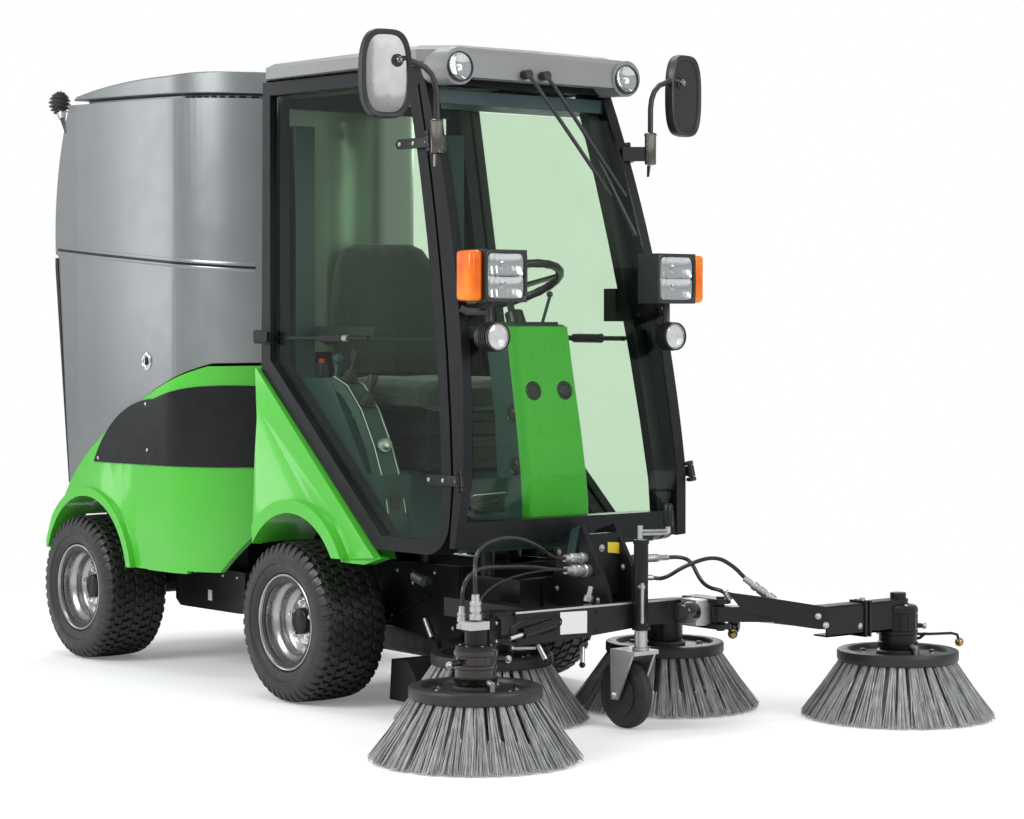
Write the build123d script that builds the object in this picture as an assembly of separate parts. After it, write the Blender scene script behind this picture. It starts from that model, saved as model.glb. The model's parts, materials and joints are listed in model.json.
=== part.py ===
from build123d import *
import math
import os

# Compact articulated road sweeper. Millimetres, +X to the machine's left, +Y to its rear, +Z up.
# While it is drawn, Y = 0 is the front axle, X = 0 the centre plane and Z = 0 the ground.
# The exported solids are moved so that the origin is the middle of the footprint.
# An outline is a list of corners; one marked with "arc" is a point that an arc passes through.

LEFT = 1
RIGHT = -1
SIDES = (RIGHT, LEFT)
SIDE_NAME = {RIGHT: "right", LEFT: "left"}

# ---------------------------------------------------------------- driving dimensions
WHEELBASE = 1320
TRACK_HALF = 420          # wheel centre from the centre plane
TYRE_R = 250
TYRE_HALF_W = 120
BEAD_R = 127              # rim's bead seat
RIM_LIP_R = 148.6
RIM_HALF_W = 105
RIM_WALL = 6
DISC_X = 10               # wheel disc's inner face, outward of the wheel's middle plane
DISC_T = 9
NUT_PCD_R = 58
NUT_COUNT = 5
HUB_R = 42
STUB_R = 25
AXLE_R = 40
MOTOR_R = 78              # wheel motor
AXLE_MOTOR_X = (TRACK_HALF - 175, TRACK_HALF - 35)
RUN_FIT = 0.08            # radial clearance of a shaft in its bore
SEAT_GAP = 0.3            # gap between a moving piece and its seat

PIVOT_Y = 570             # articulation
PIVOT_PIN_R = 20
PIVOT_PIN_Z = (300, 462)
KNUCKLE_R = 50
NECK_HALF_W = 45
NOSE_R = 225              # rear module's nose about the pivot
NOSE_DEG = 35             # and the turn that it leaves room for
REAR_HALF_W = 480
REAR_END_Y = WHEELBASE + 258   # the hopper's back at its seam
SIDE_R = 5200             # plan radius of the bowed sides, widest at their middle
SIDE_MID_Y = WHEELBASE - 190
SHOULDER_END_Y = 800      # where the rounded shoulder runs into the side

RAIL_X = (150, 190)
RAIL_Z = (330, 420)
FRONT_RAIL_Y = (-745, 300)
REAR_RAIL_Y = (745, WHEELBASE + 220)
TAIL_BEAM_Y = (WHEELBASE + 185, WHEELBASE + 235)
TOW_BORE_R = 13           # towing eye
TOW_HALF_W = 32
TOW_REACH = 30
TOW_Z = (352, 374)

# cab
CAB_HALF_W = 368          # half width of the door's face at the upper hinge
DOOR_TOP_Z = 1935
PILLAR_TOP_Z = DOOR_TOP_Z - 45
UPPER_HINGE = (-558, DOOR_TOP_Z - 232)
LOWER_HINGE = (-787, 720)
CAB_FLARE_Y = 0.079       # widening per millimetre towards the rear
CAB_LEAN_Z = 0.079        # narrowing per millimetre upwards
HINGE_STAND = 16          # hinge axis, out from the door's face
HINGE_PIN_R = 6
HINGE_BARREL = 34
DOOR_T = 30
DOOR_RAIL = 42
DOOR_SETBACK = (52, 24)   # door's front edge behind the hinge axis, at the hinges and midway
POST_IN = (40, 80)        # door surround, in from the door's face
POST_W = 40
GLASS_T = 6
GLASS_IN = 14             # pane's outer face, in from the door's face
BAND_IN = 34              # front pillar's thickness, in from the door's face
CAB_REAR_Y = 320
SCREEN = [(-745, 600), (-783, 726), (-705, 1269), (-545, PILLAR_TOP_Z - 90), (-500, PILLAR_TOP_Z)]
FLOOR_Z = (505, 520)
PLATFORM_Z = (700, 715)
ROOF_Z = (DOOR_TOP_Z + 7, DOOR_TOP_Z + 57)
ROOF_LAMP = (320, -575, DOOR_TOP_Z - 10)
ROOF_LAMP_R = 43
SEAT_Z = 905
BELLOWS_FOLDS = 4
STEER_CENTRE = (0, -430, 1290)
STEER_AXIS = (0, 0.375, 0.927)
STEER_R = 172
STEER_SHAFT_R = 11

# front tool
BRUSH_TIP_R = 287
BRUSH_HUB_R = 180
BRUSH_HUB_Z = (165, 200)
BRUSH_SHAFT_R = 12
BRISTLE_FLOOR = 2
BRUSH_MOTOR_R = 55
BRUSH_MOTOR_Z = (206, 308)
BRUSHES = {                # name: centre x, centre y
    "outer_right": (-668, -1159),
    "outer_left": (799, -1321),
    "inner_right": (-214, -642),
    "inner_left": (378, -745),
}
ARM_Z = (308, 352)
ARM_PIN_R = 12
ARM_KNUCKLE_R = 26
ARM_PIVOT = {RIGHT: (-500, -1010), LEFT: (235, -1150)}
BEAM_X = (-445, 290)
BEAM_Y = (-1047, -985)
BEAM_Z = (300, 370)
LUG_T = 14
CASTER = (0, -1067)
CASTER_TRAIL = 64
CASTER_R = 100
CASTER_HALF_W = 24
CASTER_ROD_R = 15
CASTER_TUBE_R = 21
CASTER_TUBE_Z = (300, 542)
CASTER_ROD_Z = (233, 430)

# rear module
BODY_WALL = 14
BODY_TOP = [(332, 1036), (616, 1030), (WHEELBASE - 420, 930, "arc"), (WHEELBASE - 76, 760),
            (WHEELBASE + 60, 672, "arc"), (REAR_END_Y - 94, 578), (REAR_END_Y - 78, 560)]
BODY_GAP = 10             # hopper above the body
HOPPER_WALL = 12
LID_WALL = 10
TIP_HINGE = (REAR_END_Y - 46, 556)
TIP_PIN_R = 14
GATE_HINGE = (REAR_END_Y + 46, 1428)
GATE_PIN_R = 8
HOPPER_SEAM_Z = 1410
HOPPER_TOP = 1940
HOPPER_FALL = 38          # and its top's fall towards the front
LID_GAP = 16              # recess between the hopper's top and the lid's edge
LID_RISE = 60
LID_INSET = 12
LID_NECK = 50
LID_FRONT_Y = 372
BODY_CHIN = [(200, 200), (600, 200), (590, 335), (440, 575), (200, 575)]   # cut away at its lower front
REAR_ARCH = (WHEELBASE - 30, 280, 290)   # centre y, centre z, radius
FRONT_ARCH = (-35, 322, 268)
FENDER_X = (482, 508)

# lamps, mirrors and the suction pipe
HEADLAMP = (326, -850, 1309, 77, 75, 88)   # x, front y, z, half width, half height, depth
WORK_LAMP = (339, -830, 1135, 40, 62)      # x, front y, z, radius, depth
MIRROR = (573, -603, DOOR_TOP_Z - 47)      # head's centre, on each side
MIRROR_HALF = (80, 17, 128)
MIRROR_YAW = 12
MIRROR_POST = (411, -632, DOOR_TOP_Z - 275, DOOR_TOP_Z - 173)
MIRROR_POST_R = 17
MIRROR_ARM_R = 9
DUCT_X = 115
DUCT_R = 50
DUCT_Z = 130
DUCT_WALL = 5
REAR_DUCT_Y = 680
FAR = 3000                # past the machine on every side, for cutting tools

ORIGIN = ((BRUSHES["outer_left"][0] + BRUSHES["outer_right"][0]) / 2,
          (BRUSHES["outer_left"][1] - BRUSH_TIP_R + GATE_HINGE[0] + 14) / 2, 0)


# ---------------------------------------------------------------- shape helpers
def face(points, place):
    """Flat face inside an outline; place turns a corner's two numbers into a point."""
    edges = []
    count = len(points)
    index = 0
    while index < count:
        here = place(*points[index][:2])
        after = points[(index + 1) % count]
        if len(after) == 3:
            end = place(*points[(index + 2) % count][:2])
            edges.append(Edge.make_three_point_arc(here, place(*after[:2]), end))
            index += 2
        else:
            edges.append(Edge.make_line(here, place(*after)))
            index += 1
    return Face(Wire(edges))


def prism_x(points, x0, x1):
    """Side outline (y, z) from x0 to x1."""
    return Solid.extrude(face(points, lambda y, z: Vector(x0, y, z)), Vector(x1 - x0, 0, 0))


def prism_z(points, z0, z1):
    """Plan outline (x, y) from z0 to z1."""
    return Solid.extrude(face(points, lambda x, y: Vector(x, y, z0)), Vector(0, 0, z1 - z0))


def prism_y(points, y0, y1):
    """Front outline (x, z) from y0 to y1."""
    return Solid.extrude(face(points, lambda x, z: Vector(x, y0, z)), Vector(0, y1 - y0, 0))


def block(x, y, z):
    """Box between three (low, high) pairs."""
    middle = [(low + high) / 2 for low, high in (x, y, z)]
    return Pos(*middle) * Box(x[1] - x[0], y[1] - y[0], z[1] - z[0])


def rod(start, end, radius):
    """Round bar between two points."""
    start = Vector(*start)
    axis = Vector(*end) - start
    bar = Cylinder(radius, axis.length, align=(Align.CENTER, Align.CENTER, Align.MIN))
    return Plane(origin=start, z_dir=axis) * bar


def bar_path(points, radius):
    """Round bar through points, with a ball at each bend."""
    piece = rod(points[0], points[1], radius)
    for start, end in zip(points[1:], points[2:]):
        piece = piece + Pos(*start) * Sphere(radius) + rod(start, end, radius)
    return piece


def post(x, y, z, radius):
    """Upright cylinder between the two heights in z."""
    return rod((x, y, z[0]), (x, y, z[1]), radius)


def across(side, x, y, z, radius):
    """Cylinder along X between two distances from the centre plane."""
    return rod((side * x[0], y, z), (side * x[1], y, z), radius)


def span(side, pair):
    """Two distances from the centre plane as an increasing pair of x."""
    return tuple(sorted((side * pair[0], side * pair[1])))


def ruled(low, low_z, high, high_z):
    """Solid between two plan outlines of as many corners."""
    wires = [Wire.make_polygon([(x, y, z) for x, y in outline], close=True)
             for outline, z in ((low, low_z), (high, high_z))]
    return Solid.make_loft(wires, ruled=True)


def revolved_x(profile, place=(0, 0, 0), side=LEFT):
    """Ring of a (x, radius) profile about the X axis; side sets which way x runs."""
    ring = Solid.revolve(face(profile, lambda x, r: Vector(side * x, 0, r)), 360,
                         Axis((0, 0, 0), (1, 0, 0)))
    return Pos(*place) * ring


def ring_z(profile, place):
    """Ring of a (radius, z) profile about the upright through place."""
    ring = Solid.revolve(face(profile, lambda r, z: Vector(r, 0, z)), 360, Axis((0, 0, 0), (0, 0, 1)))
    return Pos(*place, 0) * ring


# ---------------------------------------------------------------- the cab's slanted sides
def side_x(y, z):
    """Half width of the door's face at a height and a place along the cab."""
    return CAB_HALF_W + CAB_FLARE_Y * (y - UPPER_HINGE[0]) - CAB_LEAN_Z * (z - UPPER_HINGE[1])


def side_normal(side):
    return Vector(side, -side * side * CAB_FLARE_Y, CAB_LEAN_Z).normalized()


def on_side(side, y, z, out):
    """Point on the cab's side, out from the door's face."""
    return Vector(side * side_x(y, z), y, z) + side_normal(side) * out


def slab(side, outline, inner, outer):
    """Slab that follows the cab's side between two distances out from the door's face."""
    sheet = face(outline, lambda y, z: on_side(side, y, z, inner))
    return Solid.extrude(sheet, side_normal(side) * (outer - inner))


def hinge_y(z):
    """Place of the door's hinge axis at a height."""
    slope = (UPPER_HINGE[0] - LOWER_HINGE[0]) / (UPPER_HINGE[1] - LOWER_HINGE[1])
    return LOWER_HINGE[0] + slope * (z - LOWER_HINGE[1])


def door_outline(inset=0):
    """Door's outline, drawn in by inset on every side."""
    slant = inset * math.tan(math.radians(24.6))
    top = DOOR_TOP_Z - inset
    front_top = (hinge_y(top) + DOOR_SETBACK[0] + inset, top)
    front_mid = (hinge_y(1250) + DOOR_SETBACK[1] + inset, 1250, "arc")
    front_low = (-735 + inset, 700)
    return [front_top, front_mid, front_low, (-735 + inset, 600),
            (-708 + inset * 0.8, 531 + inset * 0.8, "arc"), (-640, 503 + inset),
            (-413 - inset + slant, 503 + inset),
            (200 - inset, 1024 + slant + inset * 0.35),
            (292 - inset, top)]


def ring(side, outline, hole, inner, outer):
    return slab(side, outline, inner, outer) - slab(side, hole, inner - 1, outer + 1)


# ---------------------------------------------------------------- wheels
def tyre(side, y):
    bead = RIM_HALF_W - RIM_WALL - 1
    profile = [(-bead, BEAD_R + SEAT_GAP), (bead, BEAD_R + SEAT_GAP), (bead, RIM_LIP_R + 1),
               (RIM_HALF_W + 2, RIM_LIP_R + 6), (TYRE_HALF_W, 190, "arc"), (110, 226),
               (102, 243, "arc"), (78, 247), (0, TYRE_R, "arc"), (-78, 247), (-102, 243, "arc"),
               (-110, 226), (-TYRE_HALF_W, 190, "arc"), (-RIM_HALF_W - 2, RIM_LIP_R + 6),
               (-bead, RIM_LIP_R + 1)]
    return revolved_x(profile, (side * TRACK_HALF, y, TYRE_R), side)


def rim(side, y):
    inner = BEAD_R - RIM_WALL
    lip = RIM_HALF_W - RIM_WALL
    barrel = [(-RIM_HALF_W, inner), (-RIM_HALF_W, RIM_LIP_R), (-lip, RIM_LIP_R), (-lip, BEAD_R),
              (lip, BEAD_R), (lip, RIM_LIP_R), (RIM_HALF_W, RIM_LIP_R), (RIM_HALF_W, inner)]
    disc = [(DISC_X, HUB_R - 5), (DISC_X, inner + 1), (DISC_X + DISC_T, inner + 1),
            (DISC_X + DISC_T, 92), (DISC_X + DISC_T + 14, 84), (DISC_X + DISC_T + 14, HUB_R - 5)]
    hub = [(-30, STUB_R + RUN_FIT), (-30, HUB_R), (DISC_X + 40, HUB_R), (DISC_X + 46, HUB_R - 8),
           (DISC_X + 46, 0), (DISC_X + 16, 0), (DISC_X + 16, STUB_R + RUN_FIT)]
    wheel = revolved_x(barrel, side=side) + revolved_x(disc, side=side) + revolved_x(hub, side=side)
    for index in range(NUT_COUNT):
        angle = 2 * math.pi * (index + 0.25) / NUT_COUNT
        y_nut = NUT_PCD_R * math.cos(angle)
        z_nut = NUT_PCD_R * math.sin(angle)
        nut_x = (DISC_X + DISC_T + 13, DISC_X + DISC_T + 26)
        wheel = wheel + across(side, nut_x, y_nut, z_nut, 9)
    return Pos(side * TRACK_HALF, y, TYRE_R) * wheel


def axle(y):
    piece = rod((-AXLE_MOTOR_X[0] - 5, y, TYRE_R), (AXLE_MOTOR_X[0] + 5, y, TYRE_R), AXLE_R)
    for side in SIDES:
        piece = piece + across(side, AXLE_MOTOR_X, y, TYRE_R, MOTOR_R)
        piece = piece + across(side, (AXLE_MOTOR_X[1] - 1, TRACK_HALF + DISC_X + 12), y, TYRE_R, STUB_R)
        piece = piece + block(span(side, RAIL_X), (y - 50, y + 50), (TYRE_R, RAIL_Z[0]))
    return piece


# ---------------------------------------------------------------- chassis
def front_chassis():
    frame = block((-190, 190), (-745, -700), RAIL_Z)
    for side in SIDES:
        frame = frame + block(span(side, RAIL_X), FRONT_RAIL_Y, RAIL_Z)
        for y in (-560, -260, 240):
            top = FLOOR_Z[0] if y < -400 else 520
            frame = frame + post(side * 170, y, (RAIL_Z[1] - 1, top), 22)
    frame = frame + block((-190, 190), (255, 300), RAIL_Z)
    frame = frame + block((-70, 70), (299, 500), RAIL_Z)
    fork_y = (470, PIVOT_Y)
    for z in ((RAIL_Z[1], RAIL_Z[1] + 22), (RAIL_Z[0] - 22, RAIL_Z[0])):
        plate = block((-60, 60), fork_y, z) + post(0, PIVOT_Y, z, 60)
        frame = frame + plate
    frame = frame + block((-60, 60), (470, 500), (RAIL_Z[0] - 22, RAIL_Z[1] + 22))
    return frame - post(0, PIVOT_Y, (280, 480), PIVOT_PIN_R + RUN_FIT)


def rear_chassis():
    knuckle_z = (RAIL_Z[0] + 6, RAIL_Z[1] - 6)
    frame = post(0, PIVOT_Y, knuckle_z, KNUCKLE_R) + post(0, PIVOT_Y, PIVOT_PIN_Z, PIVOT_PIN_R)
    frame = frame + block((-NECK_HALF_W, NECK_HALF_W), (PIVOT_Y, 760), knuckle_z)
    frame = frame + block((-190, 190), (745, 790), RAIL_Z)
    for side in SIDES:
        frame = frame + block(span(side, RAIL_X), REAR_RAIL_Y, RAIL_Z)
        outrigger = block(span(side, (189, REAR_HALF_W)), (885, 915), (385, 405))
        frame = frame + (outrigger & prism_z(rear_plan(SEAT_GAP), RAIL_Z[0], RAIL_Z[1]))
    frame = frame + block((-190, 190), (WHEELBASE - 140, WHEELBASE - 100), RAIL_Z)
    frame = frame + block((-285, 285), TAIL_BEAM_Y, (RAIL_Z[0] + 20, RAIL_Z[1]))
    tow_y = TAIL_BEAM_Y[1] + TOW_REACH
    tow = block((-TOW_HALF_W, TOW_HALF_W), (TAIL_BEAM_Y[1] - 5, tow_y), TOW_Z)
    tow = tow + post(0, tow_y, TOW_Z, TOW_HALF_W)
    frame = frame + tow - post(0, tow_y, (TOW_Z[0] - 5, TOW_Z[1] + 5), TOW_BORE_R)
    y, z = TIP_HINGE
    low = RAIL_Z[1] - 5
    for side in SIDES:
        ear = prism_x([(y - 24, low), (y + 20, low), (y + 20, z), (y, z + 22, "arc"), (y - 24, z)],
                      *span(side, (266, 284)))
        frame = frame + ear + across(side, (230, 286), *TIP_HINGE, TIP_PIN_R)
    return frame


# ---------------------------------------------------------------- cab
def front_band(side):
    """Front pillar's outer band: the screen's curve ahead, the door's edge behind."""
    foot, low, mid, high, top = SCREEN
    outline = [(-765, 527), low, (*mid, "arc"), top, (hinge_y(top[1]) + 40, top[1]),
               (hinge_y(mid[1]) + 14, mid[1] + 1, "arc"), (-745, 700), (-743, 527)]
    return slab(side, outline, -BAND_IN, 0)


def cab_frame():
    outline = door_outline()
    head_z = (PILLAR_TOP_Z - 10, DOOR_TOP_Z + 6)
    frame = block((-331, 331), (290, CAB_REAR_Y), (DOOR_TOP_Z - 75, head_z[1]))
    frame = frame + block((-331, 331), (290, CAB_REAR_Y), (FLOOR_Z[1], 1080))
    frame = frame + block((-402, 402), (-760, -700), (527, 600))
    frame = frame + block((-345, 345), (-520, -470), head_z)
    for side in SIDES:
        surround = ring(side, outline, door_outline(POST_W), -POST_IN[1], -POST_IN[0])
        foot = block(span(side, (400, 420)), (-760, -744), (527, 600))
        head = slab(side, [(-500, PILLAR_TOP_Z), (-500, head_z[1]), (280, head_z[1]), (280, PILLAR_TOP_Z),
                           (-450, PILLAR_TOP_Z)], -POST_IN[1], -POST_IN[0] + 1)
        corner = ruled([(side * x, y) for x, y in ((430, 200), (462, 200), (330, 320), (330, 290))], 520,
                       [(side * x, y) for x, y in ((376, 270), (412, 276), (330, 320), (330, 290))],
                       head_z[1])
        strut = slab(side, [(-500, PILLAR_TOP_Z), (-500, DOOR_TOP_Z - 5), (-440, DOOR_TOP_Z - 5),
                            (-440, PILLAR_TOP_Z - 20)], -POST_IN[1], 0)
        half = surround + foot + head + corner + strut - slab(side, outline, -POST_IN[0] + 0.5, 30)
        frame = frame + half + front_band(side)
    for hinge in door_hinges():
        frame = frame + hinge
    return frame


def screen_region():
    """Room between the front pillars, for what lies between them."""
    room = block((-FAR, FAR), (-FAR, CAB_REAR_Y), (0, FAR))
    wide = [(-FAR, 0), (FAR, 0), (FAR, FAR), (-FAR, FAR)]
    for side in SIDES:
        room = room - slab(side, wide, -BAND_IN - 0.5, FAR)
    return room


def cab_glass():
    foot, low, mid, high, top = SCREEN
    back = [(y + GLASS_T, z) for y, z in (high, mid, low)]
    outline = [(-747, 603), low, (*mid, "arc"), high, back[0], (*back[1], "arc"), back[2], (-741, 603)]
    screen = prism_x(outline, -500, 500) & screen_region()
    rear = block((-326, 326), (300, 300 + GLASS_T), (1080, DOOR_TOP_Z - 75))
    return [screen, rear]


def cab_floor():
    inset = POST_IN[1] / side_normal(LEFT).X + SEAT_GAP
    front_x = side_x(-698, FLOOR_Z[1]) - inset
    rear_x = side_x(-330, FLOOR_Z[1]) - inset
    front = prism_z([(-front_x, -698), (front_x, -698), (rear_x, -330), (-rear_x, -330)], *FLOOR_Z)
    step = [(-331, 520), (-331, 505), (-318, 505), (-190, 700), (-190, 715), (-205, 715)]
    riser = prism_x(step, -285, 285)
    deck = [(-380, -205), (380, -205), (400, 180), (330, 288), (-330, 288), (-400, 180)]
    platform = prism_z(deck, *PLATFORM_Z)
    arches = None
    for side in SIDES:
        box_top = block(span(side, (284, 386)), (-331, -190), (600, 715))
        box_hollow = block(span(side, (296, 374)), (-319, -202), (590, 703))
        wall = block(span(side, (284, 296)), (-331, 288), (505, 701))
        half = (box_top - box_hollow) + wall
        arches = half if arches is None else arches + half
    return front + riser + platform + arches


def cab_roof():
    """Roof shell over the cab, with a front bar that carries two round lamp pods."""
    outline = [(-392, -505), (-300, -590), (0, -612), (300, -590), (392, -505),
               (432, 250), (360, 322), (-360, 322), (-432, 250)]
    crown_z = ROOF_Z[1] - 14
    roof = prism_z(outline, ROOF_Z[0], crown_z)
    roof = roof + ruled(outline, crown_z, [(x * 0.94, y * 0.96) for x, y in outline], ROOF_Z[1])
    roof = roof - block((-340, 340), (-440, 270), (ROOF_Z[0] - 1, ROOF_Z[0] + 26))
    x, y, z = ROOF_LAMP
    bar_z = (PILLAR_TOP_Z + 5, ROOF_Z[1] - 12)
    bar = [(-300, bar_z[0]), (300, bar_z[0]), (310, bar_z[1]), (-310, bar_z[1])]
    roof = roof + prism_y(bar, -618, -562)
    for side in SIDES:
        pod = rod((side * x, y + 70, z + 6), (side * x, y - 48, z), ROOF_LAMP_R + 12)
        roof = roof + (pod - block((-FAR, FAR), (-470, 0), (0, ROOF_Z[0])))
    for side in SIDES:
        roof = roof - rod((side * x, y - 20, z), (side * x, y - 60, z), ROOF_LAMP_R)
        roof = roof - slab(side, door_outline(-6), -POST_IN[1] - 4, 40)
    return roof - block((-346, 346), (-521, -400), (PILLAR_TOP_Z - 11, ROOF_Z[0]))


def door(side):
    """Door's frame with its inside rod, its two hinge straps and its latch."""
    piece = ring(side, door_outline(), door_outline(DOOR_RAIL), -DOOR_T, 0)
    rod_z = 1129
    inner = -DOOR_T + 4
    rod_front = on_side(side, hinge_y(rod_z) + 45, rod_z, inner)
    piece = piece + rod(rod_front, on_side(side, 200, rod_z, inner), 5)
    for y, z in (UPPER_HINGE, LOWER_HINGE):
        strap = [(y + 4, z - 15), (y + 150, z - 15), (y + 162, z), (y + 150, z + 15), (y + 4, z + 15)]
        pad = [(y + 62, z - 12), (y + 92, z - 12), (y + 92, z + 12), (y + 62, z + 12)]
        piece = piece + slab(side, strap, 5, 11) + slab(side, pad, -0.5, 6)
        piece = piece + hinge_barrel(side, z, -HINGE_BARREL / 2, HINGE_BARREL / 2, HINGE_STAND - 4)
        arm = slab(side, [(y - 2, z - 14), (y + 26, z - 14), (y + 26, z + 14), (y - 2, z + 14)], 5, 15)
        piece = piece + arm
    for z in (UPPER_HINGE[1], LOWER_HINGE[1]):
        piece = piece - hinge_barrel(side, z, -60, 60, HINGE_PIN_R + RUN_FIT)
    latch = slab(side, [(150, 1108), (232, 1108), (236, 1150), (150, 1150)], 0, 12)
    return piece + latch


def hinge_barrel(side, z, low, high, radius):
    """Cylinder on the door's hinge axis, low to high along it from a height."""
    foot = on_side(side, hinge_y(z), z, HINGE_STAND)
    above = on_side(side, hinge_y(z + 100), z + 100, HINGE_STAND)
    along = (above - foot).normalized()
    return rod(foot + along * low, foot + along * high, radius)


def door_hinges():
    """Pillar's half of each hinge: a pin with a lug above and below the door's barrel."""
    pieces = []
    for side in SIDES:
        for y, z in (UPPER_HINGE, LOWER_HINGE):
            half = HINGE_BARREL / 2
            hinge = hinge_barrel(side, z, -half - 14, half + 14, HINGE_PIN_R)
            for low, high in ((-half - 14, -half - 2), (half + 2, half + 14)):
                lug = hinge_barrel(side, z, low, high, HINGE_STAND - 4)
                middle = z + (low + high) / 2 * 0.97
                web = slab(side, [(hinge_y(middle) - 10, middle - 5), (hinge_y(middle) + 8, middle - 5),
                                  (hinge_y(middle) + 8, middle + 5), (hinge_y(middle) - 10, middle + 5)],
                           -1, 12)
                hinge = hinge + lug + web
            pieces.append(hinge)
    return pieces


def door_glass(side):
    return slab(side, door_outline(DOOR_RAIL + SEAT_GAP), -GLASS_IN - GLASS_T, -GLASS_IN)


def front_fenders():
    pieces = []
    y0, z0, radius = FRONT_ARCH
    for side in SIDES:
        panel = prism_x([(178, 455), (196, 760), (212, 1030), (205, 1030), (-402, 508), (-440, 480),
                         (-330, 470)], *span(side, (FENDER_X[0] - 12, FENDER_X[1] - 10)))
        outer = [(178, 440), (196, 760), (200, 1010), (-408, 490), (-452, 478), (-330, 440)]
        skin = slab(side, outer, -30, 8)
        lip = prism_x([(178, 455), (186, 560), (-40, 660, "arc"), (-330, 545), (-440, 480), (-330, 470)],
                      *span(side, (300, FENDER_X[1] + 22)))
        hollow = across(side, (280, 560), y0, z0, radius)
        liner = across(side, (300, FENDER_X[1] - 10), y0, z0, radius + 10)
        liner = liner & block(span(side, (300, 560)), (-330, 178), (455, 800))
        fender = (panel + skin + liner) - hollow
        flare = lip & (across(side, (470, FENDER_X[1] + 22), y0, z0, radius + 42))
        fender = (fender + flare - hollow) & block(span(side, (280, 560)), (-460, 215), (455, 1040))
        fender = fender - slab(side, door_outline(), -POST_IN[1] - 30, 60)
        pieces.append(fender)
    return pieces


def seat():
    cushion = block((-230, 230), (-300, 190), (SEAT_Z, SEAT_Z + 95))
    back = prism_x([(150, 960), (178, 1400), (215, 1448, "arc"), (262, 1400), (250, 960)], -230, 230)
    rests = None
    for side in SIDES:
        arm = block(span(side, (246, 300)), (-150, 190), (1120, 1165))
        arm = arm + block(span(side, (225, 300)), (160, 200), (1100, 1165))
        rests = arm if rests is None else rests + arm
    return cushion + back + rests


def seat_base():
    base = block((-160, 160), (-240, 180), (PLATFORM_Z[1], 740))
    fold = (SEAT_Z - SEAT_GAP - 740) / BELLOWS_FOLDS
    for index in range(BELLOWS_FOLDS):
        z = 740 + index * fold
        inset = 12 if index % 2 else 0
        base = base + block((-150 + inset, 150 - inset), (-225 + inset, 165 - inset), (z - 1, z + fold))
    return base


def console():
    floor_z = FLOOR_Z[1] + 0.2
    outline = [(150, PLATFORM_Z[1]), (150, 1000), (-43, 1003), (-338, 580), (-338, floor_z),
               (-250, floor_z), (-206, PLATFORM_Z[1] + 0.2)]
    side_panel = prism_x(outline, -386, -302)
    side_panel = side_panel - block((-400, -280), (-345, -189), (500, 716))
    stick = rod((-345, -20, 995), (-345, -26, 1050), 9) + Pos(-345, -27, 1062) * Sphere(17)
    lever = rod((-345, -120, 880), (-345, -138, 905), 14)
    return side_panel + stick + lever


def steering_column():
    outline = [(-690, FLOOR_Z[1]), (-690, 640), (-640, 905, "arc"), (-600, 1168), (-560, 1176),
               (-452, 1150), (-500, 900), (-520, 640), (-500, FLOOR_Z[1])]
    shell = prism_x(outline, -95, 95)
    centre = Vector(*STEER_CENTRE)
    axis = Vector(*STEER_AXIS).normalized()
    boss = rod(centre - axis * 190, centre - axis * 90, 24)
    shaft_hole = rod(centre - axis * 160, centre - axis * 60, STEER_SHAFT_R + RUN_FIT)
    stalk = rod((60, -530, 1160), (82, -545, 1255), 5) + Pos(82, -545, 1262) * Sphere(10)
    return shell + boss + stalk - shaft_hole


def steering_wheel():
    centre = Vector(*STEER_CENTRE)
    axis = Vector(*STEER_AXIS).normalized()
    plane = Plane(origin=centre, x_dir=(1, 0, 0), z_dir=axis)
    hoop = plane * Torus(STEER_R, 12)
    hub = rod(centre - axis * 30, centre + axis * 12, 38)
    wheel = hoop + hub + rod(centre - axis * 150, centre, STEER_SHAFT_R)
    for turn in (90, 210, 330):
        angle = math.radians(turn)
        tip = plane.from_local_coords(Vector(STEER_R * math.cos(angle), STEER_R * math.sin(angle), 0))
        wheel = wheel + rod(centre, tip, 8)
    return wheel


def lamp_housings():
    pieces = []
    x, y, z, half_w, half_h, depth = HEADLAMP
    wx, wy, wz, w_r, w_depth = WORK_LAMP
    for side in SIDES:
        shell = block(span(side, (x - half_w, x + half_w)), (y, y + depth), (z - half_h, z + half_h))
        shell = shell - block(span(side, (x - half_w + 8, x + half_w - 8)), (y - 1, y + 14),
                              (z - half_h + 8, z + half_h - 8))
        round_shell = rod((side * wx, wy, wz), (side * wx, wy + w_depth, wz), w_r)
        round_shell = round_shell - rod((side * wx, wy - 1, wz), (side * wx, wy + 12, wz), w_r - 6)
        stem = rod((side * wx, wy + 40, wz), (side * wx, wy + 40, z - half_h + 1), 11)
        arm = bar_path([(side * wx, wy + 40, 1205), (side * 372, -735, 1205), (side * 386, -716, 1215)], 11)
        pieces.append(shell + round_shell + stem + (arm - front_band(side)))
    return pieces


def lamp_lenses():
    pieces = []
    x, y, z, half_w, half_h, depth = HEADLAMP
    wx, wy, wz, w_r, w_depth = WORK_LAMP
    rx, ry, rz = ROOF_LAMP
    for side in SIDES:
        pieces.append(block(span(side, (x - half_w + 8.3, x + half_w - 8.3)), (y + 2, y + 13.8),
                            (z - half_h + 8.3, z + half_h - 8.3)))
        pieces.append(rod((side * wx, wy + 1, wz), (side * wx, wy + 11.8, wz), w_r - 6.3))
        pieces.append(rod((side * rx, ry - 46, rz), (side * rx, ry - 20.2, rz), ROOF_LAMP_R - 0.3))
    return pieces + indicators()


def indicators():
    x, y, z, half_w, half_h, depth = HEADLAMP
    return [block(span(side, (x + half_w + 0.3, x + half_w + 44)), (y + 8, y + depth - 6),
                  (z - half_h + 4, z + half_h - 4)) for side in SIDES]


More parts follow.
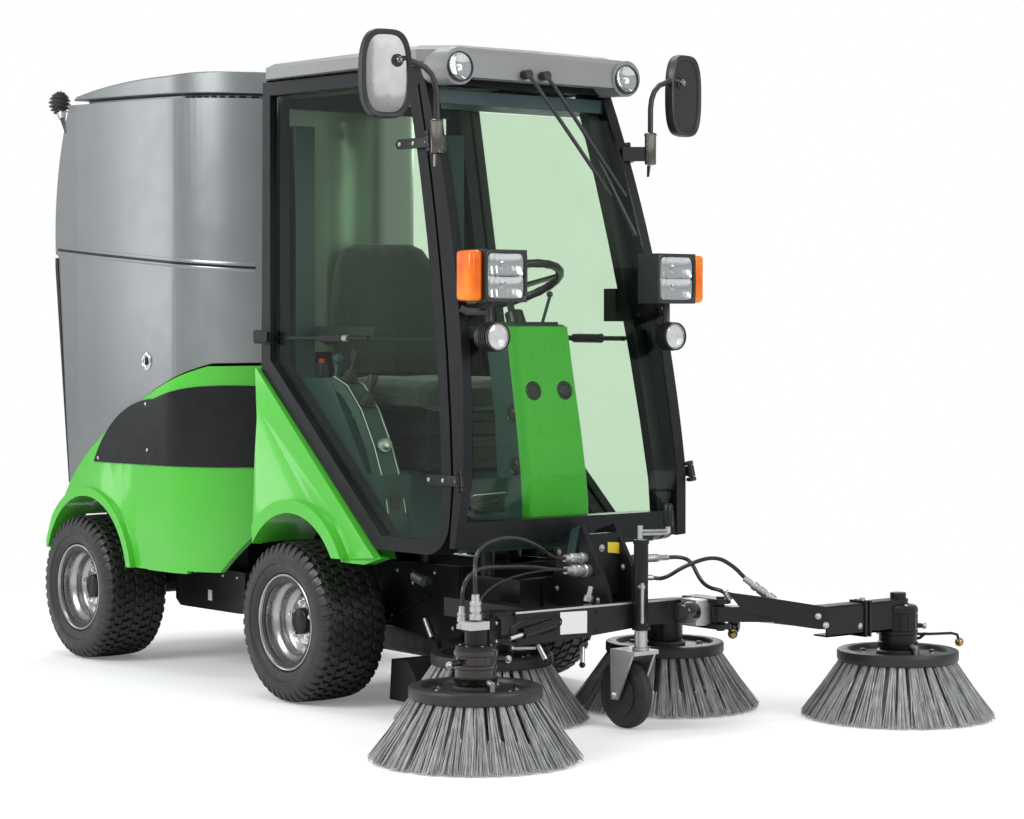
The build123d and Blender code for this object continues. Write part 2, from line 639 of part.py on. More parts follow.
def mirrors():
    pieces = []
    x, y, z = MIRROR
    px, py, low, high = MIRROR_POST
    for side in SIDES:
        head = Box(*[2 * half for half in MIRROR_HALF])
        head = fillet(head.edges().filter_by(Axis.Y), 45)
        head = Pos(side * x, y, z) * Rot(0, 0, side * MIRROR_YAW) * head
        points = [(side * px, py, high - 2), (side * px, py, z - 20), (side * (px + 22), py + 4, z + 17),
                  (side * (px + 70), py + 10, z + 40), (side * (x - 20), y - 8, z + 40)]
        stem = post(side * px, py, (low, high), MIRROR_POST_R)
        bracket = [(side * (px + 6), py - 6), (side * (px + 6), py + 6), (side * 352, -572),
                   (side * 340, -584)]
        foot = prism_z(bracket, low + 14, low + 60) - front_band(side)
        pieces.append(head + stem + bar_path(points, MIRROR_ARM_R) + foot)
    return pieces


def wipers():
    pieces = []
    for x, tip in ((-79, 190), (-10, 248)):
        pivot = (x, -640, DOOR_TOP_Z - 22)
        elbow = (x + 20, -655, DOOR_TOP_Z - 55)
        arm = bar_path([pivot, elbow, (tip, -705, 1560)], 6)
        spindle = rod((x, -618.2, pivot[2]), (x, -648, pivot[2]), 14)
        pieces.append(arm + spindle)
    blade = rod((120, -655, 1760), (262, -735, 1440), 7)
    return pieces[0] + pieces[1] + blade


# ---------------------------------------------------------------- front tool
def tool_frame():
    beam = [(BEAM_X[0], BEAM_Z[0] - 24), (-250, BEAM_Z[0] - 20), (60, BEAM_Z[0]), (BEAM_X[1], BEAM_Z[0]),
            (BEAM_X[1], BEAM_Z[1] - 4), (BEAM_X[0], BEAM_Z[1])]
    frame = prism_y(beam, *BEAM_Y)
    for x in (-62, 62):
        plate = prism_x([(-745.3, 345), (-745.3, 415), (-800, 560), (-880, 585), (-985, 430), (-1010, 369),
                         (-1010, 310), (-985, 310)], x - 7, x + 7)
        frame = frame + plate
    frame = frame + block((-62, 62), (-905, -885), (380, 560))
    frame = frame + block((-110, 110), (-757, -745.3), (338, 416))
    frame = frame + post(*CASTER, CASTER_TUBE_Z, CASTER_TUBE_R)
    frame = frame + block((-CASTER_TUBE_R + 4, CASTER_TUBE_R - 4), (CASTER[1], BEAM_Y[0] + 2), (300, 480))
    for side in SIDES:
        x, y = ARM_PIVOT[side]
        for z in ((ARM_Z[0] - 8 - LUG_T, ARM_Z[0] - 8), (ARM_Z[1] + 8, ARM_Z[1] + 8 + LUG_T)):
            if side == RIGHT:
                lug = block((x, BEAM_X[0] + 4), (y - 30, y + 30), z)
            else:
                lug = block((x - 30, x + 30), (y, BEAM_Y[0] + 30), z)
            frame = frame + lug + post(x, y, z, 30)
        frame = frame - post(x, y, (ARM_Z[0] - 60, ARM_Z[1] + 60), ARM_PIN_R + RUN_FIT)
    frame = frame + block((-330, -270), (-1000, -560), (BEAM_Z[0] + 10, BEAM_Z[1] - 5))
    frame = frame - post(*CASTER, (250, CASTER_TUBE_Z[1] - 20), CASTER_ROD_R + RUN_FIT)
    for name in ("inner_right", "inner_left"):
        x, y = BRUSHES[name]
        near_x = max(BEAM_X[0] + 40, min(BEAM_X[1] - 40, x))
        root_y = BEAM_Y[1] - 2
        bracket = [(near_x - 30, root_y), (x - 30, y), (x + 30, y), (near_x + 30, root_y)]
        frame = frame + prism_z(bracket, BRUSH_MOTOR_Z[1] - 1, BRUSH_MOTOR_Z[1] + 18)
        frame = frame + brush_motor(x, y)
    return frame


def brush_motor(x, y):
    body = post(x, y, BRUSH_MOTOR_Z, BRUSH_MOTOR_R)
    return body - post(x, y, (BRUSH_MOTOR_Z[0] - 1, BRUSH_MOTOR_Z[0] + 46), BRUSH_SHAFT_R + RUN_FIT)


def arm(side):
    x, y = ARM_PIVOT[side]
    name = "outer_" + SIDE_NAME[side]
    bx, by = BRUSHES[name]
    piece = post(x, y, ARM_Z, ARM_KNUCKLE_R) + post(x, y, (ARM_Z[0] - 28, ARM_Z[1] + 28), ARM_PIN_R)
    points = [(x, y), (bx, by)] if side == RIGHT else [(x, y), (458, by), (bx, by)]
    for (ax, ay), (cx, cy) in zip(points, points[1:]):
        length = math.hypot(cx - ax, cy - ay)
        nx = -(cy - ay) / length * 26
        ny = (cx - ax) / length * 26
        bar = [(ax + nx, ay + ny), (cx + nx, cy + ny), (cx - nx, cy - ny), (ax - nx, ay - ny)]
        piece = piece + prism_z(bar, *ARM_Z)
        piece = piece + post(cx, cy, ARM_Z, 30)
    motor = post(bx, by, (BRUSH_MOTOR_Z[0], ARM_Z[0] + 1), BRUSH_MOTOR_R)
    motor = motor - post(bx, by, (BRUSH_MOTOR_Z[0] - 1, BRUSH_MOTOR_Z[0] + 46), BRUSH_SHAFT_R + RUN_FIT)
    return piece + motor + post(bx, by, (ARM_Z[1] - 1, ARM_Z[1] + 18), 24)


def brush(name):
    """Disc carrier with its shaft and its flared ring of bristles."""
    low, high = BRUSH_HUB_Z
    profile = [(60, low + 4), (60, high), (BRUSH_HUB_R - 8, high), (BRUSH_HUB_R, high - 8),
               (BRUSH_HUB_R, low), (BRUSH_TIP_R, BRISTLE_FLOOR), (BRUSH_TIP_R - 62, BRISTLE_FLOOR),
               (118, low), (90, low + 4)]
    place = BRUSHES[name]
    piece = ring_z(profile, place) + post(*place, (low + 4, high), 61)
    return piece + post(*place, (high - 1, high + 48), BRUSH_SHAFT_R)


def caster_fork():
    x, y = CASTER
    axle_y = y + CASTER_TRAIL
    crown_z = (CASTER_ROD_Z[0] - 12, CASTER_ROD_Z[0])
    piece = post(x, y, CASTER_ROD_Z, CASTER_ROD_R)
    piece = piece + block((-46, 46), (y - 26, axle_y + 18), crown_z)
    for side in SIDES:
        outline = [(y - 20, crown_z[1] - 1), (axle_y + 18, crown_z[1] - 1),
                   (axle_y + 14, CASTER_R - 14), (axle_y - 14, CASTER_R - 14)]
        cheek = prism_x(outline, *span(side, (CASTER_HALF_W + 14, CASTER_HALF_W + 22)))
        piece = piece + cheek
    return piece + rod((-CASTER_HALF_W - 22, axle_y, CASTER_R), (CASTER_HALF_W + 22, axle_y, CASTER_R), 8)


def caster_wheel():
    half = CASTER_HALF_W
    profile = [(-half - 6, 8 + RUN_FIT), (-half - 6, 20), (-half, 40), (-half, 82),
               (-half + 12, CASTER_R - 3, "arc"), (-6, CASTER_R), (6, CASTER_R),
               (half - 12, CASTER_R - 3, "arc"), (half, 82), (half, 40),
               (half + 6, 20), (half + 6, 8 + RUN_FIT)]
    return revolved_x(profile, (0, CASTER[1] + CASTER_TRAIL, CASTER_R))


def suction_mouth():
    mouth = prism_x([(-345, 14), (-345, 90), (-300, 140), (-215, 140), (-205, 14)], -275, 275)
    mouth = mouth - prism_x([(-337, 0), (-337, 86), (-297, 132), (-222, 132), (-213, 0)], -267, 267)
    duct = rod((DUCT_X, -260, DUCT_Z), (DUCT_X, 430, DUCT_Z), DUCT_R)
    hollow = rod((DUCT_X, -262, DUCT_Z), (DUCT_X, 431, DUCT_Z), DUCT_R - DUCT_WALL)
    hangers = None
    for y in (-300, 275):
        low = 130 if y < 0 else DUCT_Z + DUCT_R - 3
        hanger = block((155, 175), (y - 15, y + 15), (DUCT_Z - 20 if y > 0 else low, RAIL_Z[0]))
        hangers = hanger if hangers is None else hangers + hanger
    left = block((-175, -155), (-315, -285), (130, RAIL_Z[0]))
    return mouth + duct + hangers + left - hollow


# ---------------------------------------------------------------- rear module
def side_arc(inset=0):
    """Centre and radius of the bowed side's plan arc on the left."""
    return Vector(REAR_HALF_W - SIDE_R, SIDE_MID_Y, 0), SIDE_R - inset


def rear_half(y, inset=0):
    """Half width of the rear module at a place along its bowed side."""
    centre, radius = side_arc(inset)
    return centre.X + math.sqrt(radius ** 2 - (y - centre.Y) ** 2)


def rear_plan(inset=0, back=REAR_END_Y + 62):
    """Plan of the rear module: a nose about the pivot, two flanks, round shoulders and bowed sides."""
    angle = math.radians(NOSE_DEG)
    flank_out = Vector(math.sin(angle), -math.cos(angle), 0)
    pivot = Vector(0, PIVOT_Y, 0)
    centre, side_r = side_arc(inset)
    side_out = (Vector(rear_half(SHOULDER_END_Y), SHOULDER_END_Y, 0) - centre).normalized()
    touch = centre + side_out * SIDE_R
    shoulder_r = (NOSE_R - flank_out.dot(touch - pivot)) / (1 - flank_out.dot(side_out))
    shoulder = touch - side_out * shoulder_r
    middle_out = (flank_out + side_out).normalized()
    flank = pivot + flank_out * (NOSE_R - inset)
    start = shoulder + flank_out * (shoulder_r - inset)
    middle = shoulder + middle_out * (shoulder_r - inset)
    end = centre + side_out * side_r
    back_x = rear_half(back, inset)
    right = [(-end.X, end.Y), (-middle.X, middle.Y, "arc"), (-start.X, start.Y), (-flank.X, flank.Y)]
    left = [(flank.X, flank.Y), (start.X, start.Y), (middle.X, middle.Y, "arc"), (end.X, end.Y)]
    widest = REAR_HALF_W - inset
    return [*right, (0, PIVOT_Y - NOSE_R + inset, "arc"), *left, (widest, SIDE_MID_Y, "arc"),
            (back_x, back), (-back_x, back), (-widest, SIDE_MID_Y, "arc")]


def body_profile(lower=0):
    """Side outline of the rear body; lower drops its top and draws in its ends for the inside."""
    top = [(y, z - lower, *mark) for y, z, *mark in BODY_TOP]
    back = REAR_END_Y - lower
    return top + [(back, 400), (back, 372), (REAR_END_Y - 38, 372), (REAR_END_Y - 38, 340), (330, 340)]


def rear_body():
    y0, z0, radius = REAR_ARCH
    outer = prism_x(body_profile(), -FAR, FAR) & prism_z(rear_plan(-BODY_WALL), 300, 1200)
    inner = prism_x(body_profile(BODY_WALL), -FAR, FAR) & prism_z(rear_plan(0), 200, 1200)
    shell = outer - inner - block((-FAR, FAR), (300, FAR), (200, 341))
    shell = shell - block((-300, 300), (REAR_END_Y - 178, FAR), (200, 545))
    shell = shell - block((-FAR, FAR), (300, 690), (300, 350)) - prism_x(BODY_CHIN, -FAR, FAR)
    for side in SIDES:
        liner = across(side, (298, REAR_HALF_W + 10), y0, z0, radius + 10)
        liner = liner & prism_x(body_profile(2), -FAR, FAR)
        flare = across(side, (REAR_HALF_W, REAR_HALF_W + 34), y0, z0, radius + 30)
        flare = flare & prism_x(body_profile(), -FAR, FAR)
        shell = shell + liner + flare - across(side, (290, 620), y0, z0, radius)
        shell = shell - block(span(side, (286, FAR)), (900, FAR), (250, 343))
        shell = shell - block(span(side, (226, 292)), (TIP_HINGE[0] - 112, FAR), (500, 660))
    shell = shell - post(DUCT_X, REAR_DUCT_Y, (900, 1060), DUCT_R + 8)
    shell = shell - block((-260, 260), (300, 620), (300, PIVOT_PIN_Z[1]))
    shell = shell - block((-400, 400), (TIP_HINGE[0] - 42, FAR), (380, 600))
    for side in SIDES:
        tail_x = rear_half(REAR_END_Y)
        shell = shell + block(span(side, (300, tail_x)), (REAR_END_Y - 22, REAR_END_Y), (372, 450))
        prop = post(side * 170, WHEELBASE + 80, (RAIL_Z[1], 660), 15)
        shell = shell + (prop & prism_x(body_profile(2), -FAR, FAR))
    return shell


def side_panels():
    """Dark lens-shaped panel let on to each side of the rear body."""
    outline = [(462, 699), (452, 964), (700, 956, "arc"), (WHEELBASE - 460, 918),
               (WHEELBASE - 220, 848, "arc"), (WHEELBASE - 58, 690)]
    skin = prism_z(rear_plan(-BODY_WALL - 5), 600, 1100) - prism_z(rear_plan(-BODY_WALL), 599, 1101)
    return [prism_x(outline, *span(side, (276, FAR))) & skin for side in SIDES]


def rear_duct():
    bracket = block((DUCT_X - 60, DUCT_X + 40), (REAR_DUCT_Y + 46, 745), (350, 400))
    pipe = post(DUCT_X, REAR_DUCT_Y, (170, BODY_TOP[0][1] + BODY_GAP), DUCT_R) + bracket
    return pipe - post(DUCT_X, REAR_DUCT_Y, (169, BODY_TOP[0][1] + BODY_GAP + 1), DUCT_R - DUCT_WALL)


def engine():
    core = block((-150, 150), (800, 1110), (440, 700)) + block((-90, 90), (830, 1080), (700, 790))
    core = core + block((-190, 190), (1130, 1180), (424, 740)) + block((-60, 60), (1108, 1132), (560, 640))
    for side in SIDES:
        for y in (840, 1070):
            core = core + post(side * 150, y, (RAIL_Z[1], 470), 20)
    return core + rod((150, 860, 640), (260, 860, 640), 50) + rod((-150, 1000, 560), (-240, 1000, 560), 60)


def hopper_profile(inset=0):
    """Side outline of the hopper, or of its inside when drawn in by inset."""
    foot = [(y, z + BODY_GAP + inset, *mark) for y, z, *mark in BODY_TOP[:-2]]
    low = (BODY_TOP[-2][0] - inset * 1.3, BODY_TOP[-2][1] + BODY_GAP + inset * 1.2)
    back = REAR_END_Y - inset
    return foot + [low, (back, HOPPER_SEAM_Z), (back + 24, HOPPER_SEAM_Z + 8 + inset),
                   (back - 6, 1720, "arc"), (back - 100, HOPPER_TOP - inset),
                   (330, HOPPER_TOP - HOPPER_FALL - inset)]


def hopper_body():
    outer = prism_x(hopper_profile(), -FAR, FAR) & prism_z(rear_plan(0), 400, 2000)
    inner = prism_x(hopper_profile(HOPPER_WALL), -FAR, FAR) & prism_z(rear_plan(HOPPER_WALL), 400, 2000)
    shell = outer - inner
    mouth_x = rear_half(REAR_END_Y) - 30
    shell = shell - block((-mouth_x, mouth_x), (REAR_END_Y - 128, FAR), (700, HOPPER_SEAM_Z - 25))
    shell = shell - post(DUCT_X, REAR_DUCT_Y, (1000, 1070), DUCT_R + 2)
    y, z = TIP_HINGE
    gate_y, gate_z = GATE_HINGE
    for side in SIDES:
        lug = prism_x([(y - 97, z + 86), (y - 52, z + 41), (y - 26, z + 34), (y - 2, z + 24), (y + 24, z),
                       (y, z - 24, "arc"), (y - 20, z - 10), (y - 54, z + 6), (y - 102, z + 56)],
                      *span(side, (234, 258)))
        lug = lug - across(side, (220, 330), *TIP_HINGE, TIP_PIN_R + RUN_FIT)
        shell = shell + lug
        ear = prism_x([(gate_y - 34, gate_z + 32), (gate_y - 24, gate_z - 4), (gate_y, gate_z - 10),
                       (gate_y + 10, gate_z), (gate_y, gate_z + 10), (gate_y - 24, gate_z + 47)],
                      *span(side, (300, 314)))
        shell = shell + ear + across(side, (296, 344), *GATE_HINGE, GATE_PIN_R)
    return shell


def hopper_top_z(y):
    """Height of the hopper's top, which falls towards the front."""
    return HOPPER_TOP - HOPPER_FALL * (REAR_END_Y - 100 - y) / (REAR_END_Y - 430)


def hopper_lid():
    """Crowned cap, thin at its back and open below, on a narrower neck that stands on the hopper."""
    front, back = LID_FRONT_Y, REAR_END_Y - 106
    crown = HOPPER_TOP + LID_RISE
    eave_z = [hopper_top_z(y) + LID_GAP for y in (front, back)]
    outline = [(front, eave_z[0]), (back, eave_z[1]), (back - 26, eave_z[1] + 14),
               (back - 220, crown - 14, "arc"), (820, crown - 4), (600, crown, "arc"), (front, crown - 10)]
    cap = prism_x(outline, -FAR, FAR) & prism_z(rear_plan(LID_INSET), 1800, 2100)
    front, back = front + LID_NECK, back - LID_NECK
    foot_z = [hopper_top_z(y) + SEAT_GAP for y in (front, back)]
    outline = [(front, foot_z[0]), (back, foot_z[1]), (back, foot_z[1] + LID_GAP + 4),
               (front, foot_z[0] + LID_GAP + 4)]
    neck = prism_x(outline, -FAR, FAR) & prism_z(rear_plan(LID_NECK), 1800, 2100)
    front, back = front + LID_WALL, back - LID_WALL
    low_z = HOPPER_TOP - HOPPER_FALL - 20
    outline = [(front, low_z), (back, low_z), (back, crown - 40), (back - 160, crown - 24),
               (820, crown - 15), (front, crown - 20)]
    return cap + neck - (prism_x(outline, -FAR, FAR) & prism_z(rear_plan(LID_NECK + LID_WALL), 1800, 2100))


def tailgate():
    gate = prism_x([(REAR_END_Y - 92, 604), (REAR_END_Y + 4, HOPPER_SEAM_Z - 6),
                    (REAR_END_Y + 28, HOPPER_SEAM_Z - 9), (REAR_END_Y - 70, 600)],
                   4 - rear_half(REAR_END_Y), rear_half(REAR_END_Y) - 4)
    y, z = GATE_HINGE
    for side in SIDES:
        outline = [(y - 34, z - 98), (y - 12, z - 98), (y + 14, z - 4), (y + 8, z + 10),
                   (y - 8, z + 10), (y - 18, z - 28)]
        strap = prism_x(outline, *span(side, (318, 340)))
        strap = strap - across(side, (300, 350), *GATE_HINGE, GATE_PIN_R + RUN_FIT)
        gate = gate + strap
    return gate


def rear_lamps():
    pieces = []
    for side in SIDES:
        lamp_x = (REAR_HALF_W - 140, REAR_HALF_W - 50)
        pieces.append(block(span(side, lamp_x), (REAR_END_Y, REAR_END_Y + 26), (385, 445)))
    return pieces


def corner_lamp():
    """Round lamp on a bent stem at the hopper's rear corner."""
    x, y, z = 2 - rear_half(REAR_END_Y), REAR_END_Y - 18, HOPPER_TOP + 13
    lamp = Pos(x, y, z) * Sphere(40) + rod((x, y, z - 28), (x, y - 50, z - 91), 9)
    return lamp - prism_x(hopper_profile(), -FAR, FAR)


# ---------------------------------------------------------------- nodes
def nodes():
    table = {
        "front_chassis": front_chassis,
        "front_axle": lambda: axle(0),
        "cab_frame": cab_frame,
        "cab_floor": cab_floor,
        "cab_roof": cab_roof,
        "cab_glass": cab_glass,
        "front_fenders": front_fenders,
        "seat": seat,
        "seat_base": seat_base,
        "console": console,
        "steering_column": steering_column,
        "steering_wheel": steering_wheel,
        "lamp_housings": lamp_housings,
        "lamp_lenses": lamp_lenses,
        "mirrors": mirrors,
        "wipers": wipers,
        "tool_frame": tool_frame,
        "suction_mouth": suction_mouth,
        "caster_fork": caster_fork,
        "caster_wheel": caster_wheel,
        "rear_chassis": rear_chassis,
        "rear_axle": lambda: axle(WHEELBASE),
        "engine": engine,
        "rear_body": rear_body,
        "side_panels": side_panels,
        "rear_duct": rear_duct,
        "rear_lamps": rear_lamps,
        "corner_lamp": corner_lamp,
        "hopper_body": hopper_body,
        "hopper_lid": hopper_lid,
        "tailgate": tailgate,
    }
    for side in SIDES:
        name = SIDE_NAME[side]
        table["door_" + name] = lambda side=side: door(side)
        table["door_glass_" + name] = lambda side=side: door_glass(side)
        table["brush_arm_" + name] = lambda side=side: arm(side)
        for end, y in (("front", 0), ("rear", WHEELBASE)):
            table[f"tyre_{end}_{name}"] = lambda side=side, y=y: tyre(side, y)
            table[f"rim_{end}_{name}"] = lambda side=side, y=y: rim(side, y)
    for name in BRUSHES:
        table["brush_" + name] = lambda name=name: brush(name)
    return table


def solids(shape):
    """Every solid of a shape or of a list of shapes."""
    if isinstance(shape, (list, tuple)):
        return [solid for item in shape for solid in solids(item)]
    return list(shape.solids())


def main():
    os.makedirs("parts", exist_ok=True)
    for name, make in nodes().items():
        found = solids(make())
        moved = [Pos(-ORIGIN[0], -ORIGIN[1], -ORIGIN[2]) * solid for solid in found]
        shape = moved[0] if len(moved) == 1 else Compound(moved)
        export_step(shape, f"parts/{name}.step")
        print(name, len(found), "solids")


if __name__ == "__main__":
    main()
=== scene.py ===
import json
import math
import random

import bmesh
import bpy
import numpy as np
from mathutils import Matrix, Vector

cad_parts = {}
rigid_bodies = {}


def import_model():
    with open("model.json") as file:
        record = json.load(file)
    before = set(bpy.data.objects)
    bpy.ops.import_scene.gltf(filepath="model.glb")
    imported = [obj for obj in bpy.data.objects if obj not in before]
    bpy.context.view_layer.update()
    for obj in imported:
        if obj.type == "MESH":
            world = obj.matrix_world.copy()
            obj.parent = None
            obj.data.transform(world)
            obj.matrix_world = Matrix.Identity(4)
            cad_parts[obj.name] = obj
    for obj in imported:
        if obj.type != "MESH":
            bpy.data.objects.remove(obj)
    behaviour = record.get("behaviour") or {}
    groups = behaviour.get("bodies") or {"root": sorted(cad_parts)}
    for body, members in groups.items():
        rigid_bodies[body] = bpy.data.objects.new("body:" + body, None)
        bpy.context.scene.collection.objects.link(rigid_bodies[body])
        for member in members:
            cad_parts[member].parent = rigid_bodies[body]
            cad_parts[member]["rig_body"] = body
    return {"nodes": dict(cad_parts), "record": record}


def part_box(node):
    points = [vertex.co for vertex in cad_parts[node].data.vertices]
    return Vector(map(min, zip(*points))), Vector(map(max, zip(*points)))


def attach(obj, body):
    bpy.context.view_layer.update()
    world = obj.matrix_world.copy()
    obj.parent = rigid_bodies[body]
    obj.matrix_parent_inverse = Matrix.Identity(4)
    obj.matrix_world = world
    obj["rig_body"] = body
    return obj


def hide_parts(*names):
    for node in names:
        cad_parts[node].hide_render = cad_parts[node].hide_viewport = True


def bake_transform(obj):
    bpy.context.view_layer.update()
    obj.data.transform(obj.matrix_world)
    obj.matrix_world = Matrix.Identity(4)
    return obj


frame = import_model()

# Compact articulated road sweeper: materials, detail meshes, soft parts, hoses, lights and camera.
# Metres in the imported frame: +X to the machine's left, +Y to its rear, +Z up.
# Shapes are drawn in the machine's own millimetres, where Y = 0 is the front axle and X = 0 the
# centre plane; at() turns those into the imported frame.

SIDES = {"right": -1, "left": 1}
MM = 0.001
TURN = 2 * math.pi
ACROSS = Vector((1, 0, 0))
AHEAD = Vector((0, -1, 0))
UP = Vector((0, 0, 1))


def middle(node):
    low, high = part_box(node)
    return (low + high) / 2


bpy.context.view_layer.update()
AXLE_MIDDLE = (middle("tyre_front_right") + middle("tyre_front_left")) / 2
ORIGIN = Vector((AXLE_MIDDLE.x, AXLE_MIDDLE.y, 0))


def at(x, y, z):
    """Packed place of a point in the machine's millimetres."""
    return ORIGIN + Vector((x, y, z)) * MM


def turns(count, shift=0):
    """Angles of even steps round a full turn, moved on by a share of a step."""
    return [TURN * (step + shift) / count for step in range(count)]


def link(name, data):
    obj = bpy.data.objects.new(name, data)
    bpy.context.scene.collection.objects.link(obj)
    return obj


# ---------------------------------------------------------------- shader nodes
def feed(nt, made, inputs):
    """Sets a node's inputs: another node's output is linked, a plain value is set."""
    for key, value in inputs.items():
        if isinstance(value, bpy.types.NodeSocket):
            nt.links.new(value, made.inputs[key])
        else:
            made.inputs[key].default_value = value


def add_node(nt, kind, inputs=None, **settings):
    made = nt.nodes.new("ShaderNode" + kind)
    for key, value in settings.items():
        setattr(made, key, value)
    feed(nt, made, inputs or {})
    return made


def material(name, bare=False):
    """New material and its node tree, emptied for a bare one."""
    mat = bpy.data.materials.new(name)
    mat.use_nodes = True
    if bare:
        mat.node_tree.nodes.clear()
    return mat, mat.node_tree


def noise(nt, scale, detail, stretch=(1, 1, 1)):
    place = add_node(nt, "TexCoord").outputs["Object"]
    fit = add_node(nt, "Mapping", {"Vector": place, "Scale": stretch}).outputs[0]
    return add_node(nt, "TexNoise", {"Vector": fit, "Scale": scale, "Detail": detail}).outputs["Fac"]


def spread(nt, fac, low, high, start=0.3, end=0.7):
    """Maps a pattern from start..end to low..high, for numbers."""
    limits = {"From Min": start, "From Max": end, "To Min": low, "To Max": high}
    return add_node(nt, "MapRange", {"Value": fac, **limits}).outputs[0]


def blend_colour(nt, fac, first, second):
    """Mix of two colours, each a plain one or another node's."""
    first, second = [c if isinstance(c, bpy.types.NodeSocket) else (*c, 1) for c in (first, second)]
    return add_node(nt, "Mix", {"Factor": fac, 6: first, 7: second}, data_type="RGBA").outputs[2]


def bump(nt, height, distance):
    return add_node(nt, "Bump", {"Height": height, "Distance": distance, "Strength": 1}).outputs[0]


# ---------------------------------------------------------------- camera, floor and light
CAMERA_PLACE = (-4.8402, -6.5647, 1.1742)
CAMERA_YAW = math.radians(51.883)     # from +X towards +Y
CAMERA_DOWN = math.radians(1.957)
CAMERA_ROLL = math.radians(0.106)
CAMERA_LENS = 88.92
CAMERA_SENSOR = 36
CAMERA_REACH = 200
WHITE = (1, 1, 1, 1)
SKY_COLOUR = (0.96, 0.98, 1.0, 1)
SKY_POWER = 0.56
FLOOR_HALF = 30
FLOOR_Z = -0.0005
FLOOR_COLOUR = (0.80, 0.80, 0.80, 1)
FLOOR_GLOW = 0.17
FLOOR_FADE = (1.9, 3.6)  # from the shadowed floor to plain white, in metres from the middle
AIM = (0, 0, 0.9)
LIGHTS = {   # place, what it points at, width and height, power
    "key": ((-6.0, 0.4, 4.4), AIM, (3.2, 3.2), 300),
    "front": ((1.2, -6.4, 3.6), AIM, (3.2, 3.0), 185),
    "top": ((0.5, 1.0, 6.0), AIM, (4.0, 4.0), 190),
    "back": ((4.5, 5.0, 3.5), AIM, (3.0, 3.0), 120),
    "side strip": ((-4.6, 6.2, 2.5), (0, 0, 1.2), (1.6, 3.4), 42),
}


def camera():
    yaw, down = CAMERA_YAW, CAMERA_DOWN
    forward = Vector((math.cos(yaw) * math.cos(down), math.sin(yaw) * math.cos(down), -math.sin(down)))
    right = Vector((math.sin(yaw), -math.cos(yaw), 0))
    facing = Matrix((right, right.cross(forward), -forward)).transposed()
    data = bpy.data.cameras.new("camera")
    data.lens = CAMERA_LENS
    data.sensor_width = CAMERA_SENSOR
    data.clip_end = CAMERA_REACH
    obj = link("camera", data)
    turn = facing @ Matrix.Rotation(CAMERA_ROLL, 3, "Z")
    obj.matrix_world = Matrix.Translation(CAMERA_PLACE) @ turn.to_4x4()
    bpy.context.scene.camera = obj


def lights():
    for name, (place, target, size, power) in LIGHTS.items():
        data = bpy.data.lights.new(name, "AREA")
        data.shape = "RECTANGLE"
        data.size, data.size_y = size
        data.energy = power
        obj = link(name, data)
        obj.location = place
        obj.rotation_euler = (Vector(target) - Vector(place)).to_track_quat("-Z", "Y").to_euler()


def world():
    """White to the camera, and a soft grey sky to everything else."""
    made = bpy.data.worlds.new("studio")
    made.use_nodes = True
    nt = made.node_tree
    nt.nodes.clear()
    white = add_node(nt, "Background", {"Color": WHITE}).outputs[0]
    sky = add_node(nt, "Background", {"Color": SKY_COLOUR, "Strength": SKY_POWER}).outputs[0]
    ray = add_node(nt, "LightPath").outputs
    straight = {0: ray["Is Camera Ray"], 1: ray["Is Transmission Ray"]}
    seen = add_node(nt, "Math", straight, operation="MAXIMUM").outputs[0]
    mix = add_node(nt, "MixShader", {"Fac": seen, 1: sky, 2: white}).outputs[0]
    add_node(nt, "OutputWorld", {"Surface": mix})
    bpy.context.scene.world = made


def floor():
    """White floor that keeps the shadows: part lit, part its own white towards the camera."""
    mesh = bpy.data.meshes.new("floor")
    corners = [(-1, -1), (1, -1), (1, 1), (-1, 1)]
    mesh.from_pydata([(x * FLOOR_HALF, y * FLOOR_HALF, FLOOR_Z) for x, y in corners], [], [(0, 1, 2, 3)])
    obj = link("floor", mesh)
    mat, nt = material("floor", bare=True)
    ray = add_node(nt, "LightPath").outputs["Is Camera Ray"]
    power = add_node(nt, "Math", {0: ray, 1: FLOOR_GLOW}, operation="MULTIPLY").outputs[0]
    glow = add_node(nt, "Emission", {"Strength": power}).outputs[0]
    diffuse = add_node(nt, "BsdfDiffuse", {"Color": FLOOR_COLOUR}).outputs[0]
    near = add_node(nt, "AddShader", {0: diffuse, 1: glow}).outputs[0]
    place = add_node(nt, "TexCoord").outputs["Object"]
    reach = add_node(nt, "VectorMath", {0: place}, operation="LENGTH").outputs["Value"]
    fade = spread(nt, reach, 0, 1, *FLOOR_FADE)
    share = add_node(nt, "Math", {0: fade, 1: ray}, operation="MULTIPLY").outputs[0]
    white = add_node(nt, "Emission").outputs[0]
    mix = add_node(nt, "MixShader", {"Fac": share, 1: near, 2: white}).outputs[0]
    add_node(nt, "OutputMaterial", {"Surface": mix})
    mesh.materials.append(mat)


# ---------------------------------------------------------------- materials
def finish(name, colour, other, rough, metallic=0.0, coat=0.0, coat_rough=0.06, patch=3.0, grain=700,
           grain_depth=0.00005, specular=0.5, stretch=(1, 1, 1), dust=None):
    """Principled material: two near colours in broad patches, roughness in finer ones, a fine grain."""
    mat, nt = material(name)
    base = blend_colour(nt, spread(nt, noise(nt, patch, 4, stretch), 0, 1), colour, other)
    if dust:
        dust_colour, amount, dust_scale = dust
        worn = spread(nt, noise(nt, dust_scale, 6, stretch), 0, amount, 0.45, 0.75)
        base = blend_colour(nt, worn, base, dust_colour)
    feed(nt, nt.nodes["Principled BSDF"], {
        "Base Color": base,
        "Roughness": spread(nt, noise(nt, patch * 9, 4, stretch), *rough),
        "Normal": bump(nt, noise(nt, grain, 2, stretch), grain_depth),
        "Metallic": metallic,
        "Coat Weight": coat,
        "Coat Roughness": coat_rough,
        "Specular IOR Level": specular,
    })
    return mat


